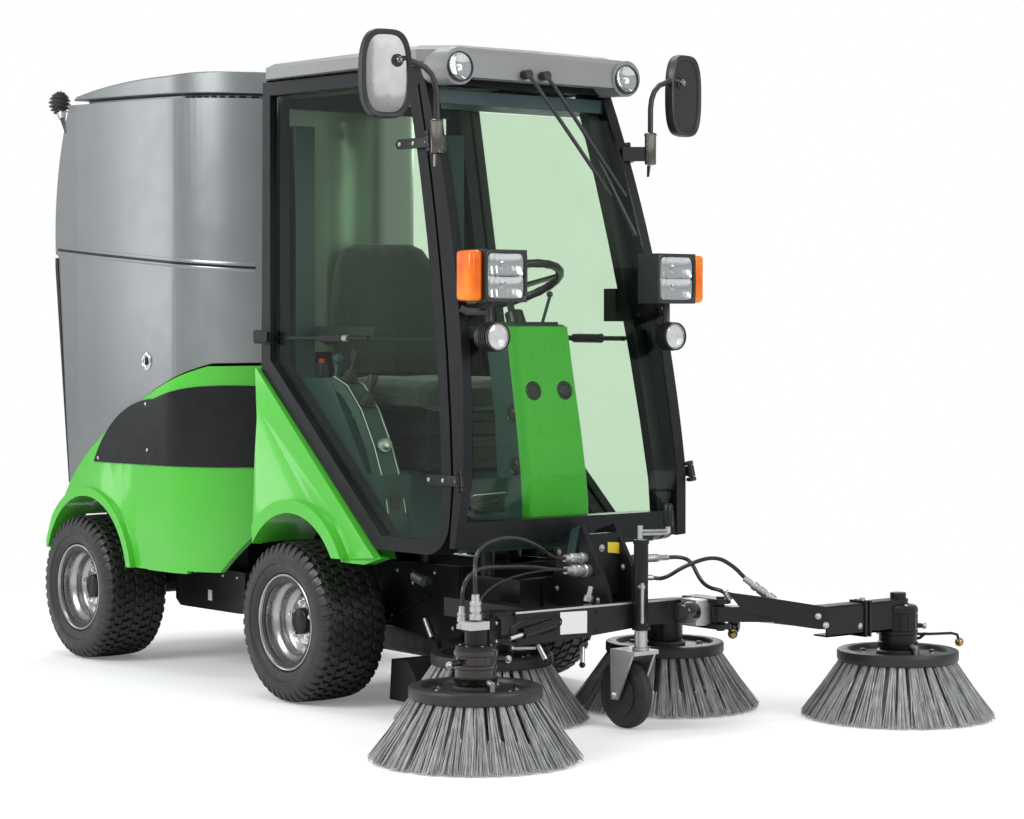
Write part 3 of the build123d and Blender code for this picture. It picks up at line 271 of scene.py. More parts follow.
def clear_pane(name, tint, facing_gloss):
    """Thin clear sheet: what is behind shows through it straight and tinted, with a reflection on it."""
    mat, nt = material(name, bare=True)
    cloudy = blend_colour(nt, noise(nt, 1.3, 2), tint, tuple(c * 0.97 for c in tint))
    through = add_node(nt, "BsdfTransparent", {"Color": cloudy}).outputs[0]
    mirror = add_node(nt, "BsdfGlossy", {"Color": WHITE, "Roughness": 0.01}).outputs[0]
    facing = add_node(nt, "LayerWeight").outputs["Facing"]
    edge_on = add_node(nt, "Math", {0: facing, 1: 5}, operation="POWER").outputs[0]
    share = spread(nt, edge_on, facing_gloss, 1, 0, 1)
    mix = add_node(nt, "MixShader", {"Fac": share, 1: through, 2: mirror}).outputs[0]
    add_node(nt, "OutputMaterial", {"Surface": mix})
    return mat


def fabric(name, colour, other):
    """Woven cloth: two crossed fine waves for the threads over a broad change of colour."""
    mat, nt = material(name)
    place = add_node(nt, "TexCoord").outputs["Object"]
    thread = {"Vector": place, "Scale": 190, "Distortion": 0.6}
    across, along = [add_node(nt, "TexWave", thread, bands_direction=d).outputs["Fac"] for d in ("X", "Z")]
    weave = add_node(nt, "Math", {0: across, 1: along}, operation="MULTIPLY").outputs[0]
    worn = blend_colour(nt, spread(nt, noise(nt, 9, 4), 0, 1), colour, other)
    feed(nt, nt.nodes["Principled BSDF"], {
        "Base Color": blend_colour(nt, weave, tuple(c * 0.45 for c in colour), worn),
        "Roughness": spread(nt, noise(nt, 60, 2), 0.85, 0.98),
        "Normal": bump(nt, weave, 0.0004),
        "Sheen Weight": 0.4,
    })
    return mat


FINISHES = {   # the two colours, the roughness from and to, and what differs from plain plastic
    "green_paint": ((0.070, 0.485, 0.031), (0.062, 0.450, 0.028), (0.26, 0.34),
                    dict(coat=0.55, coat_rough=0.07, grain=260, grain_depth=0.00004, specular=0.4)),
    "hopper_grey": ((0.270, 0.286, 0.290), (0.240, 0.256, 0.262), (0.28, 0.34),
                    dict(metallic=0.75, coat=0.3, coat_rough=0.25, patch=1.2, grain=900,
                         grain_depth=0.00003)),
    "roof_grey": ((0.245, 0.250, 0.255), (0.222, 0.227, 0.232), (0.34, 0.46),
                  dict(metallic=0.2, coat=0.2, coat_rough=0.3, grain=1200)),
    "frame_black": ((0.008, 0.009, 0.010), (0.012, 0.013, 0.014), (0.28, 0.40),
                    dict(coat=0.06, coat_rough=0.12, grain=1500, grain_depth=0.00002, specular=0.22)),
    "panel_black": ((0.007, 0.008, 0.009), (0.011, 0.012, 0.013), (0.20, 0.30),
                    dict(coat=0.15, grain=1100, grain_depth=0.00002, specular=0.22)),
    "cab_trim": ((0.020, 0.050, 0.053), (0.027, 0.061, 0.064), (0.42, 0.58),
                 dict(grain=1700, grain_depth=0.0001)),
    "rubber": ((0.012, 0.012, 0.012), (0.020, 0.020, 0.020), (0.55, 0.75), dict(grain=900)),
    "tyre": ((0.010, 0.010, 0.010), (0.015, 0.015, 0.014), (0.36, 0.52),
             dict(grain=600, grain_depth=0.00012, dust=((0.08, 0.076, 0.068), 0.16, 22))),
    "rim_silver": ((0.42, 0.42, 0.41), (0.38, 0.38, 0.37), (0.24, 0.30),
                   dict(metallic=0.95, coat=0.25, coat_rough=0.3, patch=1.5, grain=300, grain_depth=0.00001)),
    "bristle": ((0.430, 0.434, 0.435), (0.235, 0.238, 0.240), (0.38, 0.55),
                dict(patch=55, stretch=(1, 1, 0.15))),
    "brush_plastic": ((0.020, 0.021, 0.022), (0.028, 0.029, 0.030), (0.36, 0.50),
                      dict(grain=900, specular=0.35)),
    "motor_black": ((0.008, 0.006, 0.004), (0.016, 0.011, 0.007), (0.12, 0.24),
                    dict(metallic=0.3, coat=0.5, grain=600)),
    "steel_dark": ((0.24, 0.23, 0.20), (0.17, 0.165, 0.145), (0.10, 0.20),
                   dict(metallic=1.0, grain=300, grain_depth=0.00001)),
    "brass": ((0.40, 0.27, 0.12), (0.30, 0.20, 0.09), (0.22, 0.34), dict(metallic=1.0, grain=500)),
    "brace_teal": ((0.018, 0.048, 0.052), (0.024, 0.056, 0.060), (0.35, 0.48), dict(grain=1500)),
    "lamp_black": ((0.013, 0.013, 0.014), (0.020, 0.020, 0.021), (0.30, 0.42), dict(grain=1600)),
    "mirror_shell": ((0.014, 0.014, 0.015), (0.020, 0.020, 0.021), (0.34, 0.46),
                     dict(grain=1700, grain_depth=0.0001)),
    "engine_metal": ((0.10, 0.10, 0.105), (0.06, 0.06, 0.063), (0.40, 0.60),
                     dict(metallic=0.6, dust=((0.03, 0.026, 0.02), 0.5, 12))),
    "chrome": ((0.78, 0.78, 0.78), (0.70, 0.70, 0.70), (0.08, 0.16),
               dict(metallic=1.0, grain=300, grain_depth=0.00001)),
    "cast_silver": ((0.56, 0.56, 0.55), (0.46, 0.46, 0.46), (0.30, 0.46),
                    dict(metallic=0.85, grain=420, grain_depth=0.00015)),
    "lamp_red": ((0.45, 0.012, 0.010), (0.38, 0.010, 0.008), (0.10, 0.20), dict(coat=1.0)),
    # Amber: the second, yellower colour, laid in patches, is a painted glow on the unlit lens.
    "amber": ((0.74, 0.082, 0.002), (0.92, 0.26, 0.006), (0.12, 0.20),
              dict(coat=0.4, patch=13, grain=300, specular=0.3)),
    "lens_white": ((0.80, 0.80, 0.77), (0.66, 0.66, 0.63), (0.12, 0.22), dict(coat=1.0, patch=60, grain=300)),
    # Paler grey for the middle of the right mirror's back: a painted reflection on the dark shell.
    "shell_painted_sheen": ((0.235, 0.235, 0.235), (0.168, 0.168, 0.168), (0.24, 0.34),
                   dict(metallic=0.3, coat=0.6, grain=1500, grain_depth=0.00006)),
    "sign_yellow": ((0.80, 0.62, 0.02), (0.74, 0.57, 0.02), (0.30, 0.42), dict(coat=0.4)),
    "label_white": ((0.78, 0.78, 0.76), (0.72, 0.72, 0.70), (0.35, 0.50), {}),
    "red_plastic": ((0.60, 0.035, 0.015), (0.50, 0.030, 0.012), (0.25, 0.35), dict(coat=0.4)),
    "hose_rubber": ((0.014, 0.013, 0.010), (0.024, 0.022, 0.016), (0.20, 0.30),
                    dict(grain=900, grain_depth=0.0001)),
}
M = {name: finish(name, *looks[:3], **looks[3]) for name, looks in FINISHES.items()}
M["seat_fabric"] = fabric("seat_fabric", (0.030, 0.042, 0.040), (0.044, 0.056, 0.052))
M["glass"] = clear_pane("glass", (0.885, 0.953, 0.878), 0.015)
M["lens"] = clear_pane("lens", (0.97, 0.98, 0.98), 0.06)

SLOT_OF = {part["node"]: part["material_slot"] for part in frame["record"]["subparts"]}
FINISH_OF_SLOT = {"tinted_glass": "glass", "lamp_glass": "lens"}
FINISH_OF_NODE = {"caster_fork": "cast_silver"}


def finish_of(node):
    slot = SLOT_OF[node]
    return M[FINISH_OF_NODE.get(node, FINISH_OF_SLOT.get(slot, slot))]


def dress_nodes():
    """Every CAD node takes the finish of its material slot, or the one named for it."""
    for node, obj in frame["nodes"].items():
        obj.data.materials.clear()
        obj.data.materials.append(finish_of(node))


# ---------------------------------------------------------------- mesh helpers
BEVEL_STEPS = 2
BEVEL_ANGLE = math.radians(35)
MERGE = 0.00002       # corners of a drawn shape nearer than this become one
CAD_MERGE = 0.00005
FLAT = math.radians(1.0)


def roll_edges(obj, width):
    """Rolled edges of a width in millimetres."""
    bevel = obj.modifiers.new("edges", "BEVEL")
    bevel.width = width * MM
    bevel.segments = BEVEL_STEPS
    bevel.limit_method = "ANGLE"
    bevel.angle_limit = BEVEL_ANGLE
    bevel.use_clamp_overlap = True


def smooth_shade(mesh, angle):
    mesh.shade_smooth()
    mesh.set_sharp_from_angle(angle=math.radians(angle))


def piece(name, shape, body="front_module", slot="frame_black", finishes=None, replaces=(), smooth=40,
          edge=0):
    """Piece that rides on a body, from a shape or a ready mesh; edge rolls its edges, in millimetres."""
    mesh = shape.mesh(name) if isinstance(shape, Shape) else shape
    obj = link(name, mesh)
    for key in finishes or [slot]:
        mesh.materials.append(M[key])
    if smooth:
        smooth_shade(mesh, smooth)
    if edge:
        roll_edges(obj, edge)
    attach(obj, body)
    if replaces:
        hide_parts(*replaces)
    return obj


def square_to(axis):
    """Two directions square to an axis and to each other."""
    side = axis.orthogonal().normalized()
    return side, axis.cross(side)


def circle(centre, side, other, radius, count):
    return [centre + (side * math.cos(a) + other * math.sin(a)) * radius for a in turns(count)]


class Shape:
    """Mesh under construction, in the machine's millimetres: points, faces and a finish number a face."""

    def __init__(self):
        self.points = []
        self.faces = []
        self.marks = []

    def add(self, points, faces, mark=0):
        start = len(self.points)
        self.points.extend(tuple(p) for p in points)
        self.faces.extend(tuple(start + i for i in face) for face in faces)
        self.marks.extend([mark] * len(faces))

    def ring_strip(self, rings, mark=0, ends=(False, False)):
        """Quads between closed rings of as many points, with a face over the first or last ring."""
        count = len(rings[0])
        faces = []
        for row in range(len(rings) - 1):
            for index in range(count):
                after = (index + 1) % count
                faces.append((row * count + index, row * count + after, (row + 1) * count + after,
                              (row + 1) * count + index))
        if ends[0]:
            faces.append(tuple(reversed(range(count))))
        if ends[1]:
            faces.append(tuple((len(rings) - 1) * count + i for i in range(count)))
        self.add([p for ring in rings for p in ring], faces, mark)

    def revolve(self, profile, centre, axis, count=64, mark=0):
        """Closed (along, radius) profile turned about an axis; corners are given once."""
        axis = Vector(axis).normalized()
        side, other = square_to(axis)
        rings = []
        for angle in turns(count):
            out = side * math.cos(angle) + other * math.sin(angle)
            rings.append([Vector(centre) + axis * along + out * radius for along, radius in profile])
        rings.append(rings[0])
        self.ring_strip(rings, mark)

    def turned(self, profile, centre, axis, count, mark=0):
        """Solid of revolution: its (along, radius) profile is closed by flat ends on the axis."""
        self.revolve([(profile[0][0], 0), *profile, (profile[-1][0], 0)], centre, axis, count, mark)

    def bar(self, start, end, radius, count=12, mark=0, end_radius=None):
        start, end = Vector(start), Vector(end)
        sides = square_to((end - start).normalized())
        far_radius = radius if end_radius is None else end_radius
        rings = [circle(start, *sides, radius, count), circle(end, *sides, far_radius, count)]
        self.ring_strip(rings, mark, ends=(True, True))

    def box(self, low, high, mark=0):
        x, y, z = [sorted(pair) for pair in zip(low, high)]
        points = [(x[i], y[j], z[k]) for k in (0, 1) for j in (0, 1) for i in (0, 1)]
        faces = [(0, 2, 3, 1), (4, 5, 7, 6), (0, 1, 5, 4), (2, 6, 7, 3), (0, 4, 6, 2), (1, 3, 7, 5)]
        self.add(points, faces, mark)

    def prism(self, outline, offset, mark=0):
        """Outline of 3-D corners pushed along an offset."""
        near = [Vector(p) for p in outline]
        far = [p + Vector(offset) for p in near]
        self.ring_strip([near, far], mark, ends=(True, True))

    def sweep(self, path, radius, count=10, mark=0):
        """Round tube along points, without a twist."""
        path = [Vector(p) for p in path]
        side = (path[1] - path[0]).normalized().orthogonal().normalized()
        rings = []
        for index, place in enumerate(path):
            before, after = path[max(0, index - 1)], path[min(len(path) - 1, index + 1)]
            along = (after - before).normalized()
            side = (side - along * side.dot(along)).normalized()
            rings.append(circle(place, side, along.cross(side), radius, count))
        self.ring_strip(rings, mark, ends=(True, True))

    def ball(self, centre, radius, count=16, mark=0):
        angles = [math.pi * step / 10 for step in range(11)]
        profile = [(-radius * math.cos(a), radius * math.sin(a)) for a in angles]
        self.revolve(profile, centre, UP, count, mark)

    def screws(self, places, axis, radius, mark=0):
        """Round-headed screws on washers, facing along an axis."""
        head = [(-2, 0), (-2, radius * 1.3), (1, radius * 1.3), (1, radius), (radius * 0.5, radius * 0.85),
                (radius * 0.8, radius * 0.4), (radius * 0.85, 0)]
        for place in places:
            self.revolve(head, place, axis, 16, mark)

    def mesh(self, name):
        made = bpy.data.meshes.new(name)
        made.from_pydata([at(*p) for p in self.points], [], self.faces)
        made.polygons.foreach_set("material_index", self.marks)
        work = bmesh.new()
        work.from_mesh(made)
        bmesh.ops.remove_doubles(work, verts=work.verts, dist=MERGE)
        bmesh.ops.recalc_face_normals(work, faces=work.faces)
        work.to_mesh(made)
        work.free()
        return made


def rounded(node, width):
    """Stands in for a CAD node with the same form and rolled edges of a width in millimetres."""
    source = frame["nodes"][node]
    mesh = source.data.copy()
    mesh.materials.clear()
    obj = link(node + "_shell", mesh)
    mesh.materials.append(finish_of(node))
    work = bmesh.new()
    work.from_mesh(mesh)
    bmesh.ops.remove_doubles(work, verts=work.verts, dist=CAD_MERGE)
    bmesh.ops.dissolve_limit(work, angle_limit=FLAT, verts=work.verts, edges=work.edges)
    work.to_mesh(mesh)
    work.free()
    roll_edges(obj, width)
    smooth_shade(mesh, 30)
    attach(obj, source["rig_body"])
    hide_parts(node)


# ---------------------------------------------------------------- wheels
TYRE_R = 250
TREAD_HALF = 95
TREAD_CROWN = 3.5
TREAD_DEPTH = 8
TREAD_PITCHES = 46
PITCH = TURN / TREAD_PITCHES
CARCASS = [(-98, 128), (-100, 150), (-107, 155), (-114, 170), (-119, 190), (-117, 212), (-111, 226),
           (-102, 236), (-78, 240), (0, 242), (78, 240), (102, 236), (111, 226), (117, 212), (119, 190),
           (118, 184), (115, 182), (114, 170), (111, 164), (108, 160), (107, 155), (100, 150), (98, 128),
           (60, 128), (-60, 128)]
BLOCK = [(-0.50, -0.20), (-0.22, -0.40), (0.08, -0.26), (0.50, -0.40), (0.50, 0.08), (0.22, 0.28),
         (-0.08, 0.16), (-0.50, 0.34)]
BLOCK_STEPS = ((1.04, TREAD_DEPTH + 2), (1.0, 1.2), (0.90, 0))    # size, depth under the tread's crown
BLOCK_LENGTH = 1.15
BLOCK_SKEW = 0.25
BLOCK_ROWS = ((-74, 31), (-37, 34), (0, 34), (37, 34), (74, 31))
SHOULDER = [(90, 246.5), (103, 243), (112, 231), (117, 214)]
SHOULDER_BAR = ((-0.30, 8), (-0.25, 0), (0.25, 0), (0.30, 8))     # share of a pitch, depth
SHOULDER_W = 27
SHOULDER_LEAN = 0.22  # of a pitch, over the shoulder's width
WHEELS = {f"{end}_{side}": (sign * 420, y, sign)
          for end, y in (("front", 0), ("rear", 1320)) for side, sign in SIDES.items()}
RIM = [(105, 143), (107, 147), (105.5, 149.5), (101, 149.5), (98.5, 146), (97, 134), (93, 128), (88, 126.5),
       (78, 126), (70, 125), (64, 121), (59, 113), (55, 109.5), (46, 108.5), (36, 108), (30, 105),
       (26, 99), (23, 92), (20, 87), (22, 83), (31, 76), (34, 71), (34, 40),
       (29, 40), (29, 69), (18, 78), (14, 90), (16, 100), (20, 104), (-40, 103), (-60, 112),
       (-74, 121), (-92, 122), (-100, 128), (-102, 143), (-104, 150), (-98, 149), (-96, 132), (-90, 127),
       (-74, 126), (-60, 117), (-40, 108), (18, 109)]
HUB = [(-30, 41), (44, 41), (52, 39), (56, 33)]
NUT_CIRCLE = 57
NUTS = 5
NUT = ((33, 36, 13, 24), (36, 49, 9.5, 6), (49, 54, 5, 12))       # from, to, radius, sides
VALVE = ((66, 122), (88, 108))
VALVE_TURN = 2.2


def crown(x):
    """Tread's radius at a distance from the tyre's middle plane."""
    return TYRE_R - TREAD_CROWN * (abs(x) / TREAD_HALF) ** 2


def wheel_point(place, along, radius, angle):
    x, y, sign = place
    return (x + sign * along, y + radius * math.cos(angle), TYRE_R + radius * math.sin(angle))


def outward(place, profile):
    """Profile of a right-hand wheel turned to a wheel's own side."""
    return [(place[2] * along, radius) for along, radius in profile]


def tread_block(place, row, row_x, width, turn):
    """Slanted block of a row; rows lean to either side in turn."""
    rings = []
    for grow, drop in BLOCK_STEPS:
        ring = []
        for across, along in BLOCK:
            x = row_x + across * width * grow
            skew = BLOCK_SKEW * (across if row % 2 else -across)
            angle = turn + (along * grow * BLOCK_LENGTH + skew) * PITCH
            ring.append(wheel_point(place, x, crown(x) - drop, angle))
        rings.append(ring)
    return rings


def shoulder_bar(place, side, turn):
    rings = []
    for along, radius in SHOULDER:
        lean = (along - SHOULDER[0][0]) / SHOULDER_W * SHOULDER_LEAN
        rings.append([wheel_point(place, side * along, radius - drop, turn + (half + lean) * PITCH)
                      for half, drop in SHOULDER_BAR])
    return rings


def tyre(name, place):
    shape = Shape()
    shape.revolve(outward(place, CARCASS), (place[0], place[1], TYRE_R), ACROSS, 120)
    for row, (row_x, width) in enumerate(BLOCK_ROWS):
        for step in range(TREAD_PITCHES):
            turn = PITCH * (step + 0.5 * (row % 2))
            shape.ring_strip(tread_block(place, row, row_x, width, turn), ends=(False, True))
    for side in (-1, 1):
        for step in range(TREAD_PITCHES):
            shape.ring_strip(shoulder_bar(place, side, PITCH * (step + 0.25)), ends=(True, True))
    piece(f"tyre_{name}_treaded", shape, "wheel_" + name, "tyre", replaces=["tyre_" + name], smooth=32)


def rim(name, place):
    shape = Shape()
    centre = (place[0], place[1], TYRE_R)
    shape.revolve(outward(place, RIM), centre, ACROSS, 96)
    shape.turned(outward(place, HUB), centre, ACROSS, 48, 1)
    for angle in turns(NUTS, 0.25):
        for start, end, radius, count in NUT:
            x, y, z = wheel_point(place, 0, NUT_CIRCLE, angle)
            shape.bar((x + place[2] * start, y, z), (x + place[2] * end, y, z), radius, count, 2)
    root, tip = [wheel_point(place, *end, VALVE_TURN) for end in VALVE]
    shape.bar(root, tip, 4.5, 10, 3)
    piece(f"rim_{name}_dished", shape, "wheel_" + name, "rim_silver",
          ["rim_silver", "frame_black", "chrome", "rubber"], ["rim_" + name], smooth=35)


# ---------------------------------------------------------------- brushes
BRUSHES = {
    "outer_right": (-668, -1159),
    "outer_left": (799, -1321),
    "inner_right": (-214, -642),
    "inner_left": (378, -745),
}
TUFT_ROWS = (     # root radius, tip radius, tufts around, bristles in a tuft
    (168, 279, 38, 34),
    (146, 252, 32, 18),
    (124, 226, 26, 10),
)
BRISTLE_R = 1.4
BRISTLE_ROOT_Z = 168
BRISTLE_BEND_Z = 84
BRISTLE_TIP_Z = 4
CORNER = 2.0944       # third of a turn between a bristle's corners
PLATE = [(165, 60), (165, 172), (168, 179), (173, 181.5), (195, 181.5), (199, 179), (200.5, 175),
         (200.5, 150), (196, 146), (188, 144), (186, 138), (186, 60)]
BRUSH_HUB = [(171, 64), (196, 64), (200, 60), (203, 50), (203, 24), (212, 22), (214, 19), (214, 14),
             (246, 14)]
PLATE_BOLTS = 8
PLATE_BOLT_CIRCLE = 112


def bristles(name, place, rng):
    """Tufts of three-sided bristles, slightly bent, that fan out to the sweeping edge."""
    points, faces = [], []
    for root_r, tip_r, tufts, count in TUFT_ROWS:
        for tuft in range(tufts):
            turn = TURN * (tuft + rng.uniform(-0.12, 0.12)) / tufts
            for _ in range(count):
                root_a = rng.gauss(0, 0.14) / tufts * 2 * math.pi
                tip_a = root_a * 1.4 + rng.gauss(0, 0.13) / tufts * 2 * math.pi
                root_a, tip_a = turn + root_a, turn + tip_a
                depth = rng.uniform(-6, 6)
                reach = tip_r + depth * 1.2 + rng.uniform(-9, 8)
                bend = (root_r * 0.52 + reach * 0.48 + 5, BRISTLE_BEND_Z, (root_a + tip_a) / 2)
                tip = (reach, BRISTLE_TIP_Z + rng.uniform(-1.5, 7), tip_a)
                first = len(points)
                twist = rng.uniform(0, 2)
                for radius, z, angle in ((root_r + depth, BRISTLE_ROOT_Z, root_a), bend, tip):
                    for a in (twist, twist + CORNER, twist + 2 * CORNER):
                        points.append(at(place[0] + radius * math.cos(angle) + BRISTLE_R * math.cos(a),
                                         place[1] + radius * math.sin(angle) + BRISTLE_R * math.sin(a), z))
                for low in (first, first + 3):
                    for corner, after in ((0, 1), (1, 2), (2, 0)):
                        faces.append((low + corner, low + after, low + 3 + after, low + 3 + corner))
                faces.append((first + 6, first + 7, first + 8))
                faces.append((first + 2, first + 1, first))
    mesh = bpy.data.meshes.new("bristles_" + name)
    mesh.from_pydata(points, [], faces)
    piece("bristles_" + name, mesh, "brush_" + name, "bristle", smooth=None)


def brush_carrier(name, place):
    shape = Shape()
    centre = (*place, 0)
    shape.revolve(PLATE, centre, UP, 72)
    shape.turned(BRUSH_HUB, centre, UP, 36)
    for angle in turns(PLATE_BOLTS, 0.5):
        x = place[0] + PLATE_BOLT_CIRCLE * math.cos(angle)
        y = place[1] + PLATE_BOLT_CIRCLE * math.sin(angle)
        shape.bar((x, y, 184), (x, y, 188), 11, 16, 1)
        shape.bar((x, y, 188), (x, y, 195), 8, 6, 1)
    piece("carrier_" + name, shape, "brush_" + name, "bristle", ["brush_plastic", "chrome"],
          ["brush_" + name], smooth=35)


def wheels_and_brushes():
    for name, place in WHEELS.items():
        tyre(name, place)
        rim(name, place)
    rng = random.Random(11)
    for name, place in BRUSHES.items():
        brush_carrier(name, place)
        bristles(name, place, rng)


# ---------------------------------------------------------------- lamps
HEADLAMP = (326, -850, 1309)      # x, front y, z
HEADLAMP_HALF = (77, 75)
HEADLAMP_DEPTH = 88
GLASS_INSET = 9
BEZEL = ((0.5, 4), (0.5, -3), (3, -5), (8, -5), (11, -2), (11, 3))    # inside the edge, behind the front
INDICATOR_W = 43
WORK_LAMP = (339, -830, 1135)
WORK_LAMP_R = 40
ROOF_LAMP = (320, -621, 1925)
ROOF_LAMP_R = 43


def reflector(shape, low, high, y, depth):
    """Bright sheet in two shallow troughs, one over the other, with upright flutes at its sides."""
    across, up = 33, 41
    points = []
    for row in range(up):
        v = row / (up - 1)
        trough = abs(math.sin(math.pi * v * 2)) ** 0.6
        for col in range(across):
            u = col / (across - 1)
            flute = 0.9 * math.cos(u * math.pi * 14) * (1 if u < 0.34 else 0.2)
            bowl = depth * trough * (1 - (2 * u - 1) ** 4) ** 0.5
            points.append((low[0] + (high[0] - low[0]) * u, y + bowl + flute,
                           low[1] + (high[1] - low[1]) * v))
    faces = [(r * across + c, r * across + c + 1, (r + 1) * across + c + 1, (r + 1) * across + c)
             for r in range(up - 1) for c in range(across - 1)]
    shape.add(points, faces)


def round_optic(shape, centre, axis, radius, depth, bulb=True):
    """Round reflector of flat facets, finish 0, behind a domed lens, 1, inside a dark bezel, 2."""
    facets = 20
    bowl = [(depth * (1 - (i / 5) ** 2) * -1, radius * (0.14 + 0.80 * i / 5)) for i in range(6)]
    bowl += [(1.2, radius * 0.94), (-depth - 1.5, radius * 0.94), (-depth - 1.5, 0), (-depth, 0)]
    shape.revolve(bowl, centre, axis, facets)
    if bulb:
        lamp = [(-depth, 0), (-depth, 5), (-depth * 0.35, 5), (-depth * 0.2, 3), (-depth * 0.2, 0)]
        shape.revolve(lamp, centre, axis, 12)
    dome = [(1.5, radius * 0.95), (3.0, radius * 0.8), (4.4, radius * 0.5), (5.0, 0), (4.0, 0),
            (3.4, radius * 0.5), (2.0, radius * 0.8), (0.5, radius * 0.95)]
    shape.revolve(dome, centre, axis, 40, 1)
    bezel = [(-4, radius * 0.94), (3.5, radius * 0.94), (5, radius * 0.99), (4, radius * 1.06),
             (-4, radius * 1.06)]
    shape.revolve(bezel, centre, axis, 48, 2)


def headlamp(side, sign):
    """Double reflector with its two bulbs behind a flat glass, a rounded bezel, and the indicator outside."""
    x, y, z = HEADLAMP
    half_w, half_h = HEADLAMP_HALF
    shape = Shape()
    xs = sorted((sign * (x - half_w + GLASS_INSET), sign * (x + half_w - GLASS_INSET)))
    zs = (z - half_h + GLASS_INSET, z + half_h - GLASS_INSET)
    reflector(shape, (xs[0], zs[0]), (xs[1], zs[1]), y + 3.4, 8.5)
    for share, size in ((0.30, 9), (0.72, 12)):
        bulb = (sum(xs) / 2, y + 9, zs[0] + (zs[1] - zs[0]) * share)
        shape.turned([(-5, size), (3, size)], bulb, AHEAD, 20)
    shape.box((xs[0], y + 1.0, zs[0]), (xs[1], y + 2.0, zs[1]), 1)
    rings = []
    for inset, back in BEZEL:
        edge = squircle(half_w - inset, half_h - inset, 64, 0.22)
        rings.append([(sign * x + px, y + back, z + pz) for px, pz in edge])
    shape.ring_strip(rings, 2)
    piece("headlamp_" + side, shape, slot="lamp_glass", finishes=["chrome", "lens", "lamp_black"],
          replaces=["lamp_lenses"], smooth=50)
    amber = Shape()
    amber.box((sign * (x + half_w - 1), y + 7, z - half_h + 3),
              (sign * (x + half_w + INDICATOR_W), y + HEADLAMP_DEPTH - 6, z + half_h - 3))
    piece("indicator_" + side, amber, slot="lamp_glass", finishes=["amber"], smooth=50, edge=11)


def work_lamp(side, sign):
    x, y, z = WORK_LAMP
    radius = WORK_LAMP_R
    shape = Shape()
    round_optic(shape, (sign * x, y - 1, z), AHEAD, radius, 9, bulb=False)
    for fin in range(4):
        rib = [(0, radius - 2), (0, radius + 4), (-3.5, radius + 4), (-3.5, radius - 2)]
        shape.revolve(rib, (sign * x, y + 10 + fin * 9, z), AHEAD, 40, 2)
    piece("work_lamp_" + side, shape, slot="lamp_glass", finishes=["lens_white", "lens", "lamp_black"],
          smooth=30)


def roof_lamp(side, sign):
    x, y, z = ROOF_LAMP
    shape = Shape()
    round_optic(shape, (sign * x, y - 3, z - 1), (0, -1, 0.1), ROOF_LAMP_R, 18)
    piece("roof_lamp_" + side, shape, slot="lamp_glass", finishes=["chrome", "lens", "lamp_black"], smooth=20)


def lamps():
    for side, sign in SIDES.items():
        headlamp(side, sign)
        work_lamp(side, sign)
        roof_lamp(side, sign)


# ---------------------------------------------------------------- mirrors
MIRROR = (573, -603, 1888)
MIRROR_HALF = (80, 17, 128)
MIRROR_YAW = math.radians(12)
MIRROR_ARM = [(411, -632, 1750), (411, -632, 1838), (416, -631, 1866), (428, -630, 1892), (450, -627, 1912),
              (486, -623, 1925), (520, -620, 1934)]
MIRROR_RIM = [(-17, -9.5), (-15, -13.5), (-13, -14.5), (-6, 0.5 - MIRROR_HALF[1]), (-2, -14), (0, -6), (0, 8),
              (-2, 14), (-7, 16.5), (-10, 15)]     # out from the half sizes, back from the middle
MIRROR_BACK = [(-17, -9.5), (-30, -11), (-50, -12), (-76, -12.5)]
MIRROR_GLASS = [(-10, 15), (-70, 15)]
MIRROR_POST = [(1664, 14), (1667, 18), (1752, 18), (1754, 19.5), (1761, 19.5), (1763, 17)]


def mirror_ring(half_x, half_z, y, count=56):
    """Barrel-shaped outline: bowed long sides, flatter ends, round corners."""
    ring = []
    for angle in turns(count):
        c, s = math.cos(angle), math.sin(angle)
        x = half_x * math.copysign(abs(c) ** 0.56, c)
        z = half_z * math.copysign(abs(s) ** 0.62, s)
        ring.append((x * (1 - 0.07 * (z / half_z) ** 2), y, z))
    return ring


def mirrors():
    """Moulded shells with a raised rim, their glass behind, on bent round arms; the right shell's middle is a
    paler grey, a painted reflection.
    """
    half_x, _, half_z = MIRROR_HALF
    for side, sign in SIDES.items():
        shape = Shape()
        turn = Matrix.Rotation(sign * MIRROR_YAW, 3, "Z")
        place = Vector((sign * MIRROR[0], MIRROR[1], MIRROR[2]))
        for mark, (rows, end) in enumerate(((MIRROR_RIM, False), (MIRROR_BACK, True), (MIRROR_GLASS, True))):
            rings = [[place + turn @ Vector(p) for p in mirror_ring(half_x + out, half_z + out, y)]
                     for out, y in rows]
            shape.ring_strip(rings, mark, ends=(False, end))
        socket = place + turn @ Vector((-sign * 33, -11, 38))
        shape.turned([(0, 19), (5, 18), (9, 13)], socket, turn @ AHEAD, 24)
        joint = place + turn @ Vector((-sign * 33, -15, 38)) + Vector((0, -8, 0))
        shape.ball(joint, 12, mark=3)
        shape.sweep([(sign * x, y, z) for x, y, z in MIRROR_ARM] + [joint], 8.5, 14)
        x, y = sign * MIRROR_ARM[0][0], MIRROR_ARM[0][1]
        shape.turned(MIRROR_POST, (x, y, 0), UP, 32, 3)
        shape.prism([(x - 4, y + 2, 1663), (x + 4, y + 2, 1663), (x + 1, y + 6, 1628), (x - 1, y + 6, 1628)],
                    (0, 9, 0), 3)
        bracket = [(x, y - 6), (x, y + 6), (sign * 352, -572), (sign * 340, -584)]
        shape.prism([(px, py, 1676) for px, py in bracket], (0, 0, 44))
        # The right mirror's back gets a paler grey as a painted reflection; the left one keeps the dark shell
        # colour.
        back = "shell_painted_sheen" if side == "right" else "mirror_shell"
        piece("mirror_" + side, shape, slot="mirror_shell",
              finishes=["mirror_shell", back, "chrome", "steel_dark"], replaces=["mirrors"], smooth=38)


